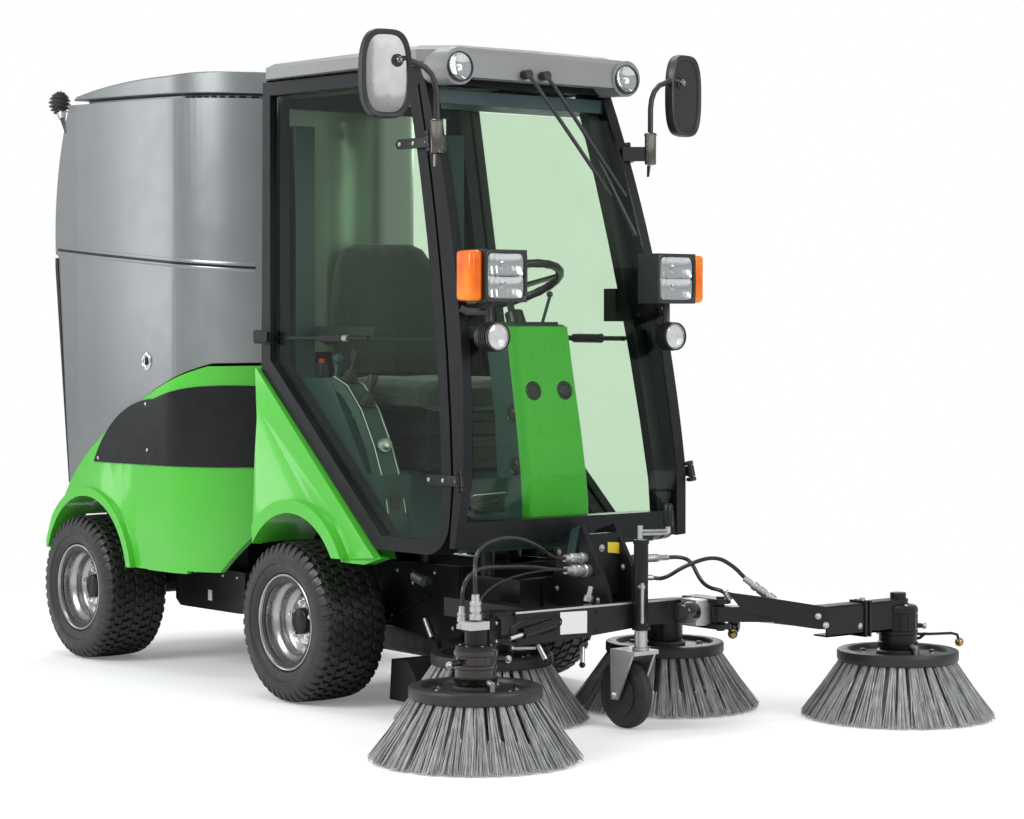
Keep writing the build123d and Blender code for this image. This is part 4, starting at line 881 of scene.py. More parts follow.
# ---------------------------------------------------------------- inside the cab
DOOR_LEAN = 0.079     # of the cab's side, inwards with height and outwards to the rear
COLUMN_FRONT = [(-694, 524), (-694, 640), (-682, 740), (-664, 850), (-642, 960), (-622, 1060), (-603, 1164)]
COLUMN_HALF = 105     # at its top
COLUMN_FLARE = 0.018
COLUMN_EDGE = ((-1, 0, 34), (-1, 0, 6), (-1, 2, 0), (-1, 9, -5), (1, -9, -5), (1, -2, 0), (1, 0, 6),
               (1, 0, 34), (1, -4, 34), (1, -4, 8), (-1, 4, 8), (-1, 4, 34))      # side, out from it, back
COLUMN_PLUGS = ((-60, 972), (60, 972))
COLUMN_SIDE_PLUGS = ((-585, 902), (-602, 745))
WHEEL_CENTRE = Vector((0, -430, 1290))
WHEEL_LEAN = (0, 0.375, 0.927)
WHEEL_AXIS = Vector(WHEEL_LEAN).normalized()
WHEEL_R = 172
GRIP_R = 13.0
GRIP_SWELL = 0.8
SPOKE = ((20, 20, -10), (60, 16, -12), (120, 13, -6), (WHEEL_R, 11, 0))     # reach, half width, lift
SPOKE_HALF = 4
WHEEL_HUB = [(-150, 11), (-34, 11), (-34, 30), (-6, 40), (6, 38), (10, 30), (12, 0)]
CONSOLE_FRONT = [(-46, 1004), (-120, 978), (-196, 905), (-262, 800), (-312, 690), (-336, 600), (-341, 524)]
STICKS = (((-88, 996), 88), ((-182, 925), 80))      # foot, length
STICK_LEAN = Vector((0.05, -0.35, 1)).normalized()
KNOB = (-345, -270, 800)
METER = [(-360, -328, 690), (-330, -328, 690), (-330, -340, 610), (-360, -340, 610)]
LATCH_Z = 1129
LATCH_RUNS = ((238, -560, 5, 1), (-60, -165, 14, 0), (-165, -190, 11, 1), (-190, -290, 9, 0),
              (238, 170, 12, 0))      # from, to, radius, finish
LATCH_SLEEVE = ((-269, -414, 15, 0), (-414, -540, 8, 0))      # on the left door alone
STRAPS = ((-558, 1703), (-787, 720))
STRAP_RIVETS = (22, 78, 140)
HANDLE = ((158, 1112), (226, 1112), (230, 1146), (158, 1146))


def on_side(sign, y, z, out):
    """Point on the cab's slanted side, out from the door's face."""
    half = 368 + DOOR_LEAN * (y + 558) - DOOR_LEAN * (z - 1703)
    normal = Vector((sign, -DOOR_LEAN, DOOR_LEAN)).normalized()
    return Vector((sign * half, y, z)) + normal * out


def front_y(z):
    """Front of the steering column at a height."""
    for (y0, z0), (y1, z1) in zip(COLUMN_FRONT, COLUMN_FRONT[1:]):
        if z <= z1:
            return y0 + (y1 - y0) * (z - z0) / (z1 - z0)
    return COLUMN_FRONT[-1][0]


def plug(shape, centre, axis, radius):
    """Round moulded cap with a ring groove."""
    shape.revolve([(-4, radius), (1.5, radius), (3, radius - 2), (3, radius - 6), (1.2, radius - 7.5),
                   (1.2, radius - 10), (3.4, radius - 12), (3.8, 0), (-4, 0)], centre, axis, 32)


def column_cover():
    """Painted front cover of the steering column, wider at its foot, with its round plugs."""
    shape = Shape()
    rings = []
    for y, z in COLUMN_FRONT:
        half = COLUMN_HALF + (COLUMN_FRONT[-1][1] - z) * COLUMN_FLARE
        rings.append([(side * half + out, y + back, z) for side, out, back in COLUMN_EDGE])
    shape.ring_strip(rings, ends=(True, True))
    piece("column_cover", shape, slot="green_paint", smooth=30)
    caps = Shape()
    for x, z in COLUMN_PLUGS:
        plug(caps, (x, front_y(z) - 5, z), (0, -1, 0.2), 29)
    for y, z in COLUMN_SIDE_PLUGS:
        plug(caps, (-96, y, z), (-1, 0, 0), 27)
    caps.turned([(0, 30), (60, 27), (64, 22)], (0, -497, 1150), WHEEL_LEAN, 32)
    caps.box((-78, -590, 1164), (78, -470, 1178))
    piece("column_fittings", caps, slot="rubber", finishes=["lamp_black"], edge=1.5)


def steering_wheel():
    """Thick grip with finger swells, three flat spokes and a capped hub."""
    shape = Shape()
    other = WHEEL_AXIS.cross(ACROSS)
    rings = []
    for angle in turns(72):
        out = ACROSS * math.cos(angle) + other * math.sin(angle)
        grip = GRIP_R + GRIP_SWELL * math.cos(angle * 24)
        rings.append([WHEEL_CENTRE + out * (WHEEL_R + grip * math.cos(a)) + WHEEL_AXIS * grip * math.sin(a)
                      for a in turns(14)])
    rings.append(rings[0])
    shape.ring_strip(rings)
    for degrees in (90, 210, 330):
        angle = math.radians(degrees)
        out = ACROSS * math.cos(angle) + other * math.sin(angle)
        side = WHEEL_AXIS.cross(out)
        rows = []
        for reach, half, lift in SPOKE:
            centre = WHEEL_CENTRE + out * reach + WHEEL_AXIS * lift
            rows.append([centre + side * half * across + WHEEL_AXIS * SPOKE_HALF * up
                         for across, up in ((1, 1), (-1, 1), (-1, -1), (1, -1))])
        shape.ring_strip(rows, ends=(True, True))
    shape.revolve([(WHEEL_HUB[0][0], 0), *WHEEL_HUB], WHEEL_CENTRE, WHEEL_AXIS, 40)
    piece("steering_wheel_grip", shape, "steering_wheel", "cab_trim", ["lamp_black"], ["steering_wheel"])


def console_line(out):
    """Points down the console's curved front, out from it."""
    rows = []
    for index, (y, z) in enumerate(CONSOLE_FRONT):
        y0, z0 = CONSOLE_FRONT[max(0, index - 1)]
        y1, z1 = CONSOLE_FRONT[min(len(CONSOLE_FRONT) - 1, index + 1)]
        length = math.hypot(y1 - y0, z1 - z0)
        rows.append((y + (z1 - z0) / length * out, z - (y1 - y0) / length * out))
    return rows


def console_fittings():
    """Panel on the console's front with pale edge lines, two sticks in bellows, knob, meter and buckle."""
    shape = Shape()
    outline = console_line(3) + console_line(-30)[::-1]
    shape.prism([(-384, y, z) for y, z in outline], (80, 0, 0))
    for x in (-376, -312):
        shape.sweep([(x, y, z) for y, z in console_line(5.2)[:-1]], 1.3, 6, 1)
    for (y, z), reach in STICKS:
        foot = Vector((-345, y, z))
        for fold in range(4):
            low, radius = fold * 9, 27 - fold * 4
            bellow = [(low, radius), (low + 5, 29 - fold * 4.5), (low + 9, radius - 3)]
            shape.turned(bellow, foot, STICK_LEAN, 24, 2)
        shape.bar(foot, foot + STICK_LEAN * reach, 6, 10, 2)
        shape.revolve([(reach - 28, 0), (reach - 28, 9), (reach - 12, 15), (reach + 6, 17), (reach + 16, 12),
                       (reach + 19, 0)], foot, STICK_LEAN, 20, 2)
    shape.turned([(0, 22), (8, 22), (10, 18), (26, 16), (28, 13)], KNOB, (0, -0.9, 0.42), 24, 3)
    shape.prism(METER, (0, 4, 1), 2)
    piece("console_panel", shape, slot="cab_trim",
          finishes=["cab_trim", "label_white", "lamp_black", "cast_silver"])
    belt = Shape()
    belt.box((-352, 60, 1000), (-322, 92, 1046))
    belt.box((-344, 66, 1046), (-330, 86, 1062), 1)
    piece("belt_buckle", belt, slot="rubber", finishes=["lamp_black", "red_plastic"], edge=3)


def cab_lining():
    """Dark roof lining, rear corner trims, relay box on the left pillar and the pedal by the column."""
    shape = Shape()
    shape.box((-338, -500, 1826), (338, -330, 1868))
    for sign in SIDES.values():
        shape.box((sign * 262, 226, 840), (sign * 336, 262, 1800))
    shape.box((318, -575, 1180), (372, -520, 1282), 1)
    shape.box((-292, -660, 616), (-180, -618, 640), 1)
    pedal = [(-300, -664, 668), (-178, -664, 672), (-178, -640, 652), (-300, -640, 648)]
    shape.prism(pedal, (0, 0, 4), 2)
    piece("cab_lining", shape, slot="cab_trim", finishes=["brace_teal", "lamp_black", "cast_silver"], edge=4)


def door_fittings():
    """Inside latch rod with its sleeve and collar, strap rivets and the outside handle block."""
    for side, sign in SIDES.items():
        shape = Shape()
        runs = LATCH_RUNS + (LATCH_SLEEVE if side == "left" else ())
        for start, end, radius, mark in runs:
            shape.bar(on_side(sign, start, LATCH_Z, -26), on_side(sign, end, LATCH_Z, -26), radius, 14, mark)
        for y, z in STRAPS:
            for along in STRAP_RIVETS:
                foot, tip, head = [on_side(sign, y + along, z, out) for out in (10.5, 13.5, 15)]
                shape.bar(foot, tip, 6, 16, 1)
                shape.bar(tip, head, 4, 12, 1)
        shape.prism([on_side(sign, y, z, 9) for y, z in HANDLE],
                    on_side(sign, *HANDLE[0], 20) - on_side(sign, *HANDLE[0], 9))
        piece("door_fittings_" + side, shape, "door_" + side, finishes=["frame_black", "cast_silver"], edge=1)


# ---------------------------------------------------------------- seat
CUSHION = ((-292, 150, 16, 934), (-286, 190, 32, 942), (-262, 212, 42, 950), (-200, 219, 46, 953),
           (-60, 221, 46, 953), (80, 220, 46, 953), (150, 216, 44, 952),
           (178, 200, 34, 946))       # y, half width, half height, middle's height
BACKREST = ((1004, 196, 30, 192), (1018, 214, 40, 193), (1060, 222, 44, 195), (1150, 223, 44, 200),
            (1240, 218, 43, 206), (1320, 204, 40, 213), (1380, 184, 36, 219), (1420, 156, 30, 224),
            (1438, 116, 19, 228))     # height, half width, half depth, middle's y
VOXEL = 0.006
STUFFING_FRAMES = 20
STUFFING_PRESSURE = 4
STUFFING_REACH = 0.007      # the cloth may swell by no more


def squircle(half_x, half_y, count, power=0.5):
    ring = []
    for angle in turns(count):
        c, s = math.cos(angle), math.sin(angle)
        ring.append((half_x * math.copysign(abs(c) ** power, c), half_y * math.copysign(abs(s) ** power, s)))
    return ring


def settle(obj):
    """Makes what an object's modifiers give its own mesh."""
    graph = bpy.context.evaluated_depsgraph_get()
    made = bpy.data.meshes.new_from_object(obj.evaluated_get(graph))
    obj.modifiers.clear()
    obj.data = made


def corner_places(obj):
    flat = np.empty(len(obj.data.vertices) * 3)
    obj.data.vertices.foreach_get("co", flat)
    return flat.reshape(-1, 3)


def blow_up(obj):
    """Swells a cover as cloth under pressure, each corner by no more than STUFFING_REACH."""
    scene = bpy.context.scene
    start = corner_places(obj)
    cloth = obj.modifiers.new("cloth", "CLOTH")
    cloth.settings.quality = 4
    cloth.settings.use_pressure = True
    cloth.settings.uniform_pressure_force = STUFFING_PRESSURE
    cloth.settings.effector_weights.gravity = 0
    cloth.point_cache.frame_start = 1
    cloth.point_cache.frame_end = STUFFING_FRAMES
    for number in range(1, STUFFING_FRAMES + 1):
        scene.frame_set(number)
    settle(obj)
    moved = corner_places(obj) - start
    far = np.linalg.norm(moved, axis=1, keepdims=True)
    moved *= np.minimum(1, STUFFING_REACH / np.maximum(far, 1e-9))
    obj.data.vertices.foreach_set("co", (start + moved).ravel())
    scene.frame_set(1)


def pad(name, shape):
    """Stuffed cover: the shape is remeshed, blown up as cloth and smoothed."""
    obj = piece(name, shape, slot="seat_fabric", replaces=["seat"], smooth=None)
    remesh = obj.modifiers.new("remesh", "REMESH")
    remesh.mode = "VOXEL"
    remesh.voxel_size = VOXEL
    settle(obj)
    blow_up(obj)
    obj.data.shade_smooth()
    finer = obj.modifiers.new("finer", "SUBSURF")
    finer.levels = finer.render_levels = 1


def seat():
    cushion = Shape()
    rings = []
    for y, half_x, half_z, z in CUSHION:
        ring = []
        for x, up in squircle(half_x, half_z, 48):
            dip = 10 * math.cos(math.pi * min(1, abs(x) / 170)) if up > 0 else 0
            ring.append((x, y, z + up - max(0, dip) * (1 if abs(y + 60) < 210 else 0.3)))
        rings.append(ring)
    cushion.ring_strip(rings, ends=(True, True))
    pad("seat_cushion", cushion)
    back = Shape()
    rings = []
    for z, half_x, half_y, y in BACKREST:
        ring = []
        for x, out in squircle(half_x, half_y, 48):
            wrap = -16 * (abs(x) / 222) ** 3
            hollow = 9 * math.cos(math.pi / 2 * min(1, abs(x) / 120)) if out < 0 else 0
            ring.append((x, y + out + wrap + hollow, z))
        rings.append(ring)
    back.ring_strip(rings, ends=(True, True))
    pad("seat_back", back)
    arms = Shape()
    for sign in SIDES.values():
        arms.box((sign * 246, -148, 1122), (sign * 298, 188, 1163))
        arms.box((sign * 226, 166, 1104), (sign * 250, 196, 1163), 1)
    arms.box((-190, 150, 990), (190, 178, 1010), 1)
    arms.box((-200, -250, 903), (200, 170, 916), 1)
    piece("seat_arms", arms, slot="rubber", finishes=["rubber", "frame_black"], edge=12)


# ---------------------------------------------------------------- rear module's skin
PIVOT_Y = 570
NOSE_R = 225
NOSE_TURN = math.radians(35)
REAR_HALF_W = 480
REAR_END_Y = 1578
SIDE_R = 5200
SIDE_MID_Y = 1130
SHOULDER_END_Y = 800
BODY_SKIN = 14
LID_NECK = 50
SEAM_Z, SEAM_Y, SEAM_RISE = 1352, 480, 0.074        # height at a place along, and the seam's slope
SEAM_LINES = (      # finish, and (out, height over the seam) round each strip
    (1, ((0.4, -5), (1.6, -5), (1.6, 4), (0.4, 4))),
    (0, ((-0.5, -16), (2.6, -13), (4.0, -9), (2.6, -5), (-0.5, -5))),
    (0, ((-0.5, 4), (2.2, 4), (3.2, 8), (-0.5, 16))),
)
LATCH = (927, 1044)      # y, z
VENTS_Y = range(492, 753, 26)
VENT_W = 15
VENT_LOW, VENT_Y, VENT_RISE = 1899, 372, 0.034      # height at a place along, and the lid's slope
EDGE_STRIP = ((1578, 1404), (1593, 1404), (1593, 1370), (1499, 604), (1484, 604))
CORNER_LAMP = Vector((-462, 1560, 1953))
CORNER_LAMP_R = 40
CORNER_LAMP_RIBS = 9
CORNER_LAMP_CABLE = ((0, -20, -56), (0, -32, -74), (0, -42, -88), (2, -50, -104))
PANEL_BOLTS = ((905, 900), (895, 745), (1225, 705))


def rear_path(out, steps=14):
    """Right-hand plan of the rear module from its flank's front to its back, out from the hopper's wall."""
    flank_out = Vector((-math.sin(NOSE_TURN), -math.cos(NOSE_TURN)))
    centre = Vector((SIDE_R - REAR_HALF_W, SIDE_MID_Y))
    rise = (SHOULDER_END_Y - SIDE_MID_Y) / SIDE_R
    side_out = Vector((-math.sqrt(1 - rise * rise), rise))
    pivot = Vector((0, PIVOT_Y))
    touch = centre + side_out * SIDE_R
    radius = (NOSE_R - flank_out.dot(touch - pivot)) / (1 - flank_out.dot(side_out))
    shoulder = touch - side_out * radius
    path = [pivot + flank_out * (NOSE_R + out)]
    first, last = math.atan2(flank_out.y, flank_out.x), math.atan2(side_out.y, side_out.x)
    for step in range(steps + 1):
        angle = first + (last - first) * step / steps
        path.append(shoulder + Vector((math.cos(angle), math.sin(angle))) * (radius + out))
    for step in range(1, steps + 1):
        y = SHOULDER_END_Y + (REAR_END_Y - SHOULDER_END_Y) * step / steps
        reach = math.sqrt((SIDE_R + out) ** 2 - (y - SIDE_MID_Y) ** 2)
        path.append(Vector((centre.x - reach, y)))
    return path


def skin_point(y, out):
    """Right-hand point of the rear module's plan at a place along it."""
    path = rear_path(out, 40)
    for start, end in zip(path, path[1:]):
        if start.y <= y <= end.y:
            return start.lerp(end, (y - start.y) / max(1e-6, end.y - start.y))
    return path[-1]


def ribbon(shape, rows, mark, sign):
    """Closed strip along the hopper's seam: each row is (out, height over the seam)."""
    paths = [rear_path(out) for out, _ in rows]
    rings = []
    for index, base in enumerate(rear_path(0)):
        seam = SEAM_Z + (base.y - SEAM_Y) * SEAM_RISE
        rings.append([(-sign * path[index].x, path[index].y, seam + lift)
                      for path, (_, lift) in zip(paths, rows)])
    shape.ring_strip(rings[1:], mark, ends=(True, True))


def hopper_details():
    """Seam round the hopper with a bead under it, lid vents, round latches and the black corner strips."""
    for side, sign in SIDES.items():
        shape = Shape()
        for mark, rows in SEAM_LINES:
            ribbon(shape, rows, mark, sign)
        y, z = LATCH
        spot = skin_point(y, 0)
        centre = Vector((-sign * spot.x, spot.y, z))
        shape.revolve([(-2, 0), (-2, 31), (3, 31), (5, 28), (5, 24), (3, 22), (2, 0)], centre, (sign, 0, 0),
                      40, 2)
        shape.turned([(1, 15), (7, 13)], centre, (sign, 0, 0), 24, 1)
        shape.box(centre + Vector((sign * 6, -3, -12)), centre + Vector((sign * 9, 3, 12)), 2)
        for y in VENTS_Y:
            start, end = [skin_point(place, 1 - LID_NECK) for place in (y, y + VENT_W)]
            low = VENT_LOW + (y - VENT_Y) * VENT_RISE
            shape.prism([(-sign * start.x, start.y, low + 3), (-sign * end.x, end.y, low + 3),
                         (-sign * end.x, end.y, low + 14), (-sign * start.x, start.y, low + 14)],
                        (sign * 2, -1.5, 0), 1)
        piece("hopper_trim_" + side, shape, "hopper", "hopper_grey", ["hopper_grey", "frame_black", "chrome"])
        strip = Shape()
        x = min(sign * 446, sign * 466)
        strip.prism([(x, y, z) for y, z in EDGE_STRIP], (20, 0, 0))
        piece("hopper_edge_" + side, strip, "hopper", "panel_black", edge=2)


def corner_lamp():
    """Ribbed round work lamp on the hopper's rear corner."""
    shape = Shape()
    tilt = (0, -0.2, 1)
    for rib in range(CORNER_LAMP_RIBS):
        angle = math.pi * (rib + 0.5) / CORNER_LAMP_RIBS - math.pi / 2
        radius = CORNER_LAMP_R * math.cos(angle)
        along = CORNER_LAMP_R * math.sin(angle)
        shape.turned([(along - 3, radius), (along + 1.2, radius)], CORNER_LAMP, tilt, 32)
        shape.turned([(along + 1, radius - 5), (along + 6, radius - 5)], CORNER_LAMP, tilt, 24)
    shape.turned([(-30, 15), (-46, 17), (-60, 12)], CORNER_LAMP, (0, 0.35, 1), 24, 1)
    shape.sweep([CORNER_LAMP + Vector(p) for p in CORNER_LAMP_CABLE], 9, 12)
    piece("corner_lamp_ball", shape, "hopper", "lamp_black", ["lamp_black", "cast_silver"], ["corner_lamp"],
          smooth=30)


def side_panel_bolts():
    for side, sign in SIDES.items():
        shape = Shape()
        for y, z in PANEL_BOLTS:
            spot = skin_point(y, BODY_SKIN + 5)
            shape.turned([(-1, 6), (1.5, 6), (3, 4)], (-sign * spot.x, spot.y, z), (sign, 0, 0), 16)
        piece("panel_bolts_" + side, shape, "rear_module", "rim_silver", ["cast_silver"])


# ---------------------------------------------------------------- front tool
HITCH_X = 69          # the hitch plates' outer face
BRACE = [(-HITCH_X, -878, 584), (-HITCH_X, -842, 571), (-HITCH_X, -816, 473), (-HITCH_X, -850, 455)]
SIGN = [(10, -906, 534), (54, -906, 530), (54, -906, 498), (10, -906, 503)]
HITCH_COUPLERS = (    # root, tip, radius
    ((-69, -898, 490), (-150, -902, 494), 15),
    ((-69, -915, 455), (-165, -925, 462), 17),
    ((69, -950, 484), (196, -962, 482), 12),
    ((69, -935, 430), (140, -958, 425), 12),
)
COUPLER = [           # shares of the length and of the radius
    (0, 0), (0, 1.1), (0.22, 1.1), (0.24, 0.8), (0.30, 0.8), (0.32, 1.0), (0.52, 1.0), (0.53, 0.85),
    (0.57, 0.85), (0.58, 1.0), (0.70, 1.0), (0.74, 0.72), (1, 0.66), (1, 0)]
BEAM_Y = -1047        # the beam's front face
LABEL = [(-284, BEAM_Y, 360), (-186, BEAM_Y, 358), (-186, BEAM_Y, 295), (-284, BEAM_Y, 297)]
BEAM_SCREWS = ((-438, 356), (-438, 286), (-150, 352), (-150, 300), (120, 350))
POST = (0, -1067)
GRIP = [(586, 13), (596, 15), (646, 13), (652, 9)]
CASTER = (0, -1003, 100)
CASTER_DISC = [(25, 9), (25, 62), (27, 64), (29.5, 40), (31.5, 20), (31.5, 9)]


def coupler(shape, start, end, radius, mark=0):
    """Turned hose coupling: hexagon, grooved sleeve and a narrower tail."""
    start, end = Vector(start), Vector(end)
    length = (end - start).length
    shape.revolve([(along * length, r * radius) for along, r in COUPLER], start, end - start, 18, mark)


def hitch_fittings():
    """Teal brace, screws, blank sign, blank label and hose couplings on the tool's frame."""
    shape = Shape()
    shape.prism(BRACE, (-7, 0, 0), 3)
    shape.screws([(-11, -905, 517), (-11, -905, 392)], AHEAD, 8)
    shape.screws([(55, -923, 459)], (-1, 0, 0), 8)
    shape.screws([(-HITCH_X, -780, 500), (-HITCH_X, -958, 372), (-HITCH_X, -770, 392)], (-1, 0, 0), 7)
    shape.prism(SIGN, (0, -2, 0), 1)
    shape.prism(LABEL, (0, -1.5, 0), 2)
    for root, tip, radius in HITCH_COUPLERS:
        coupler(shape, root, tip, radius)
    shape.turned([(0, 14), (16, 14), (20, 8), (44, 8)], (-110, -960, 372), (0.2, -0.1, 1), 16)
    piece("hitch_fittings", shape, finishes=["cast_silver", "sign_yellow", "label_white", "brace_teal"],
          smooth=35)


def beam_fittings():
    """Bright upper edge, the cylinder lying in its slot, its rod, and the small fittings under the beam."""
    shape = Shape()
    y = BEAM_Y
    shape.prism([(-443, y + 3, 366), (288, y + 3, 366), (288, y + 3, 371.5), (-443, y + 3, 371.5)],
                (0, -4, 0), 1)
    slot = []
    for angle in turns(32):
        c, s = math.cos(angle), math.sin(angle)
        slot.append((-372 + 92 * math.copysign(abs(c) ** 0.7, c), y - 1, 326 + 24 * s + 8 * c))
    shape.prism(slot, (0, 4, 0), 2)
    shape.sweep(slot + slot[:1], 3, 8)
    shape.bar((-424, y - 8, 311), (-312, y - 4, 330), 14, 20, 2, 15)
    shape.bar((-312, y - 4, 330), (-300, y - 3, 332), 9, 16)
    shape.bar((-468, y - 8, 301), (-424, y - 8, 309), 6, 14, 1)
    shape.screws([(x, y, z) for x, z in BEAM_SCREWS], AHEAD, 5)
    for x, z, lean in ((-345, 272, 15), (-181, 250, -18)):
        tip = (x + lean, y + 4, z - 46)
        shape.bar((x, y + 24, z), tip, 7, 12, 1)
        shape.ball(tip, 9, 12)
    shape.bar((-430, y + 30, 268), (-350, y + 30, 262), 5, 10, 1)
    piece("beam_fittings", shape, finishes=["frame_black", "cast_silver", "panel_black"], smooth=35)


def caster_fittings():
    """Cap, crank and slim rod on the post; silver post foot, fork cheeks and wheel hub below it."""
    x, y = POST
    shape = Shape()
    shape.turned([(540, 23), (548, 24), (552, 21)], (x, y, 0), UP, 28)
    shape.bar((x - 4, y, 550), (x - 4, y, 592), 8, 14, 1)
    for out, lift in ((0, 0), (7, -9)):
        shape.bar((x - 4, y - out, 577 + lift), (x + 96, y - out, 574 + lift), 4.5, 10, 1)
    shape.bar((x + 100, y - 3, 566), (x + 100, y - 3, 590), 8, 14, 1)
    shape.turned(GRIP, (x + 101, y - 3, 0), UP, 20)
    shape.bar((x - 17, y - 26, 430), (x - 17, y - 26, 314), 5, 10, 1)
    shape.bar((x - 17, y - 14, 418), (x - 17, y - 30, 418), 7, 10, 1)
    shape.turned([(292, 26), (300, 26), (304, 22)], (x, y, 0), UP, 24)
    piece("caster_fittings", shape, finishes=["frame_black", "cast_silver"], smooth=35)
    fork = Shape()
    fork.turned([(234, 24), (240, 24), (243, 18.5), (290, 18.5)], (x, y, 0), UP, 28)
    hub = Shape()
    for side in (-1, 1):
        fork.screws([(side * 46, CASTER[1], CASTER[2])], (side, 0, 0), 11)
        hub.revolve(CASTER_DISC, CASTER, (side, 0, 0), 40)
    piece("caster_fork_fittings", fork, "caster_fork", finishes=["cast_silver"], smooth=35)
    for along in (-13, -5, 5, 13):
        radius = 99.4 - abs(along) * 0.16
        bead = [(along - 1.2, radius - 3), (along - 1.2, radius + 0.6), (along + 1.2, radius + 0.6),
                (along + 1.2, radius - 3)]
        hub.revolve(bead, CASTER, ACROSS, 72, 1)
    piece("caster_hub", hub, "caster_wheel", "rubber", ["brush_plastic", "rubber"], smooth=35)


# ---------------------------------------------------------------- brush arms
MOTOR_LOW = 206
MOTOR_BODY = [(-1, 57), (14, 60), (18, 60), (20, 56.5), (40, 56.5), (42, 60), (52, 60),
              (54, 56.5)]         # up from MOTOR_LOW
MOTOR_HEAD = [(-22, 56.5), (-20, 60), (-8, 60), (0, 54), (2, 50)]      # up from the motor's top
ARM_PIVOT = Vector((-500, -1010, 0))
ARM_FACE = 30
LEG_START = Vector((235, -1150))
LEG_END = Vector((458, -1321))
LEG_OUT = 27
ARM_PLATE = [(0.06, 396), (0.45, 381), (1.11, 352), (1.11, 288), (1.0, 288), (0.54, 306), (0.50, 326),
             (0.24, 335), (0.17, 358)]   # share of the leg's length and height


def motor(shape, centre, top):
    """Ribbed hydraulic motor over a brush, finish 0; its screws and side fittings have finish 1."""
    x, y = centre
    low = MOTOR_LOW
    body = [(low + up, radius) for up, radius in MOTOR_BODY]
    body += [(top + up, radius) for up, radius in MOTOR_HEAD]
    shape.turned(body, (x, y, 0), UP, 48)
    shape.screws([(x + 42 * math.cos(a), y + 42 * math.sin(a), top + 2) for a in turns(6, 0.3)], UP, 5.5, 1)
    for angle in turns(14):
        foot = Vector((x, y, 0)) + Vector((math.cos(angle), math.sin(angle), 0)) * 56
        shape.bar(foot + Vector((0, 0, low + 56)), foot + Vector((0, 0, top - 24)), 3.2, 8)
    for side in (-1, 1):
        tip = Vector((x + side * 100, y - 10, low + 58))
        shape.bar((x + side * 50, y - 6, low + 62), tip, 9, 12, 0, 7)
        shape.screws([tip + Vector((0, -5, 0))], AHEAD, 8, 1)
    shape.bar((x, y - 52, low + 8), (x, y - 76, low + 2), 9, 14, 1)
    shape.bar((x, y - 74, low + 8), (x, y - 74, low - 16), 7, 14, 1)


def right_arm_fittings():
    """Motor with its hose block and couplings, and the side plate of the arm with its screws."""
    shape = Shape()
    x, y = BRUSHES["outer_right"]
    motor(shape, (x, y), 304)
    shape.box((x - 38, y - 30, 352), (x + 24, y + 22, 374), 1)
    leg = (Vector((x, y, 0)) - ARM_PIVOT).normalized()
    face = Vector((-leg.y, leg.x, 0)) * ARM_FACE
    near, far = ARM_PIVOT + leg * 62 + face, Vector((x, y, 0)) - leg * 40 + face
    outline = [(near, 286), (near, 370), (far, 376), (far, 312)]
    shape.prism([place + UP * z for place, z in outline], -face / 10, 2)
    shape.screws([near.lerp(far, 0.2) + UP * z for z in (352, 302)], face, 5, 1)
    coupler(shape, (x - 4, y - 4, 378), (x - 4, y - 4, 446), 16, 1)
    coupler(shape, (x - 30, y + 24, 352), (x - 24, y + 30, 412), 12, 1)
    piece("arm_fittings_right", shape, "arm_right", finishes=["motor_black", "cast_silver", "frame_black"],
          smooth=35)


def leg_point(share, z, out):
    """Point beside the left arm's first leg, out from its middle towards the front."""
    along = LEG_END - LEG_START
    normal = Vector((along.y, -along.x)).normalized()
    place = LEG_START + along * share + normal * out
    return Vector((place.x, place.y, z))


def left_arm_fittings():
    """Stepped cover plate, box cover with its clamp, motor with its small pipe, and the cast joint."""
    shape = Shape()
    foot = leg_point(0, 0, 0)
    cover = [leg_point(share, z, LEG_OUT + 5) for share, z in ARM_PLATE]
    shape.prism(cover, foot - leg_point(0, 0, 5))
    screws = [leg_point(share, z, LEG_OUT + 5) for share, z in ((1.0, 326), (1.08, 300))]
    shape.screws(screws, leg_point(0, 0, 1) - foot, 7, 1)
    shape.box((470, -1351, 262), (742, -1345, 346))
    shape.box((470, -1351, 262), (742, -1296, 267))
    shape.screws([(607, -1351, 286)], AHEAD, 7, 1)
    for x in (628, 646):
        shape.box((x - 4, -1356, 252), (x + 4, -1290, 358), 2)
    shape.bar((637, -1330, 352), (637, -1330, 366), 8, 12, 1)
    x, y = BRUSHES["outer_left"]
    motor(shape, (x, y), 332)
    pipe = [(x + 58, y, 241), (x + 150, y, 234), (x + 236, y, 230), (x + 262, y, 224), (x + 272, y, 204)]
    shape.sweep(pipe, 4.5, 10, 2)
    shape.sweep([(x + 60, y, 226), (x + 96, y, 226), (x + 120, y, 238)], 5, 10, 2)
    shape.ball((x + 272, y, 200), 14, 16, 3)
    coupler(shape, (365, -1240, 366), (312, -1168, 430), 13, 1)
    coupler(shape, (250, -1172, 372), (238, -1166, 400), 11, 1)
    piece("arm_fittings_left", shape, "arm_left",
          finishes=["frame_black", "cast_silver", "panel_black", "brass"], smooth=35)
    joint = Shape()
    joint.box((158, -1130, 296), (262, -1062, 372))
    joint.box((262, -1112, 300), (330, -1072, 346))
    joint.turned([(0, 26), (8, 30), (54, 30), (62, 26)], (122, -1160, 345), (-1, -0.2, 0), 24, 1)
    joint.turned([(0, 22), (20, 22), (24, 16)], (330, -1092, 282), (0.3, -1, 0), 20, 1)
    joint.ball((312, -1120, 262), 15, 16, 2)
    joint.bar((330, -1090, 312), (560, -1190, 280), 11, 14)
    piece("arm_joint_left", joint, finishes=["cast_silver", "motor_black", "brass"], smooth=35, edge=3)


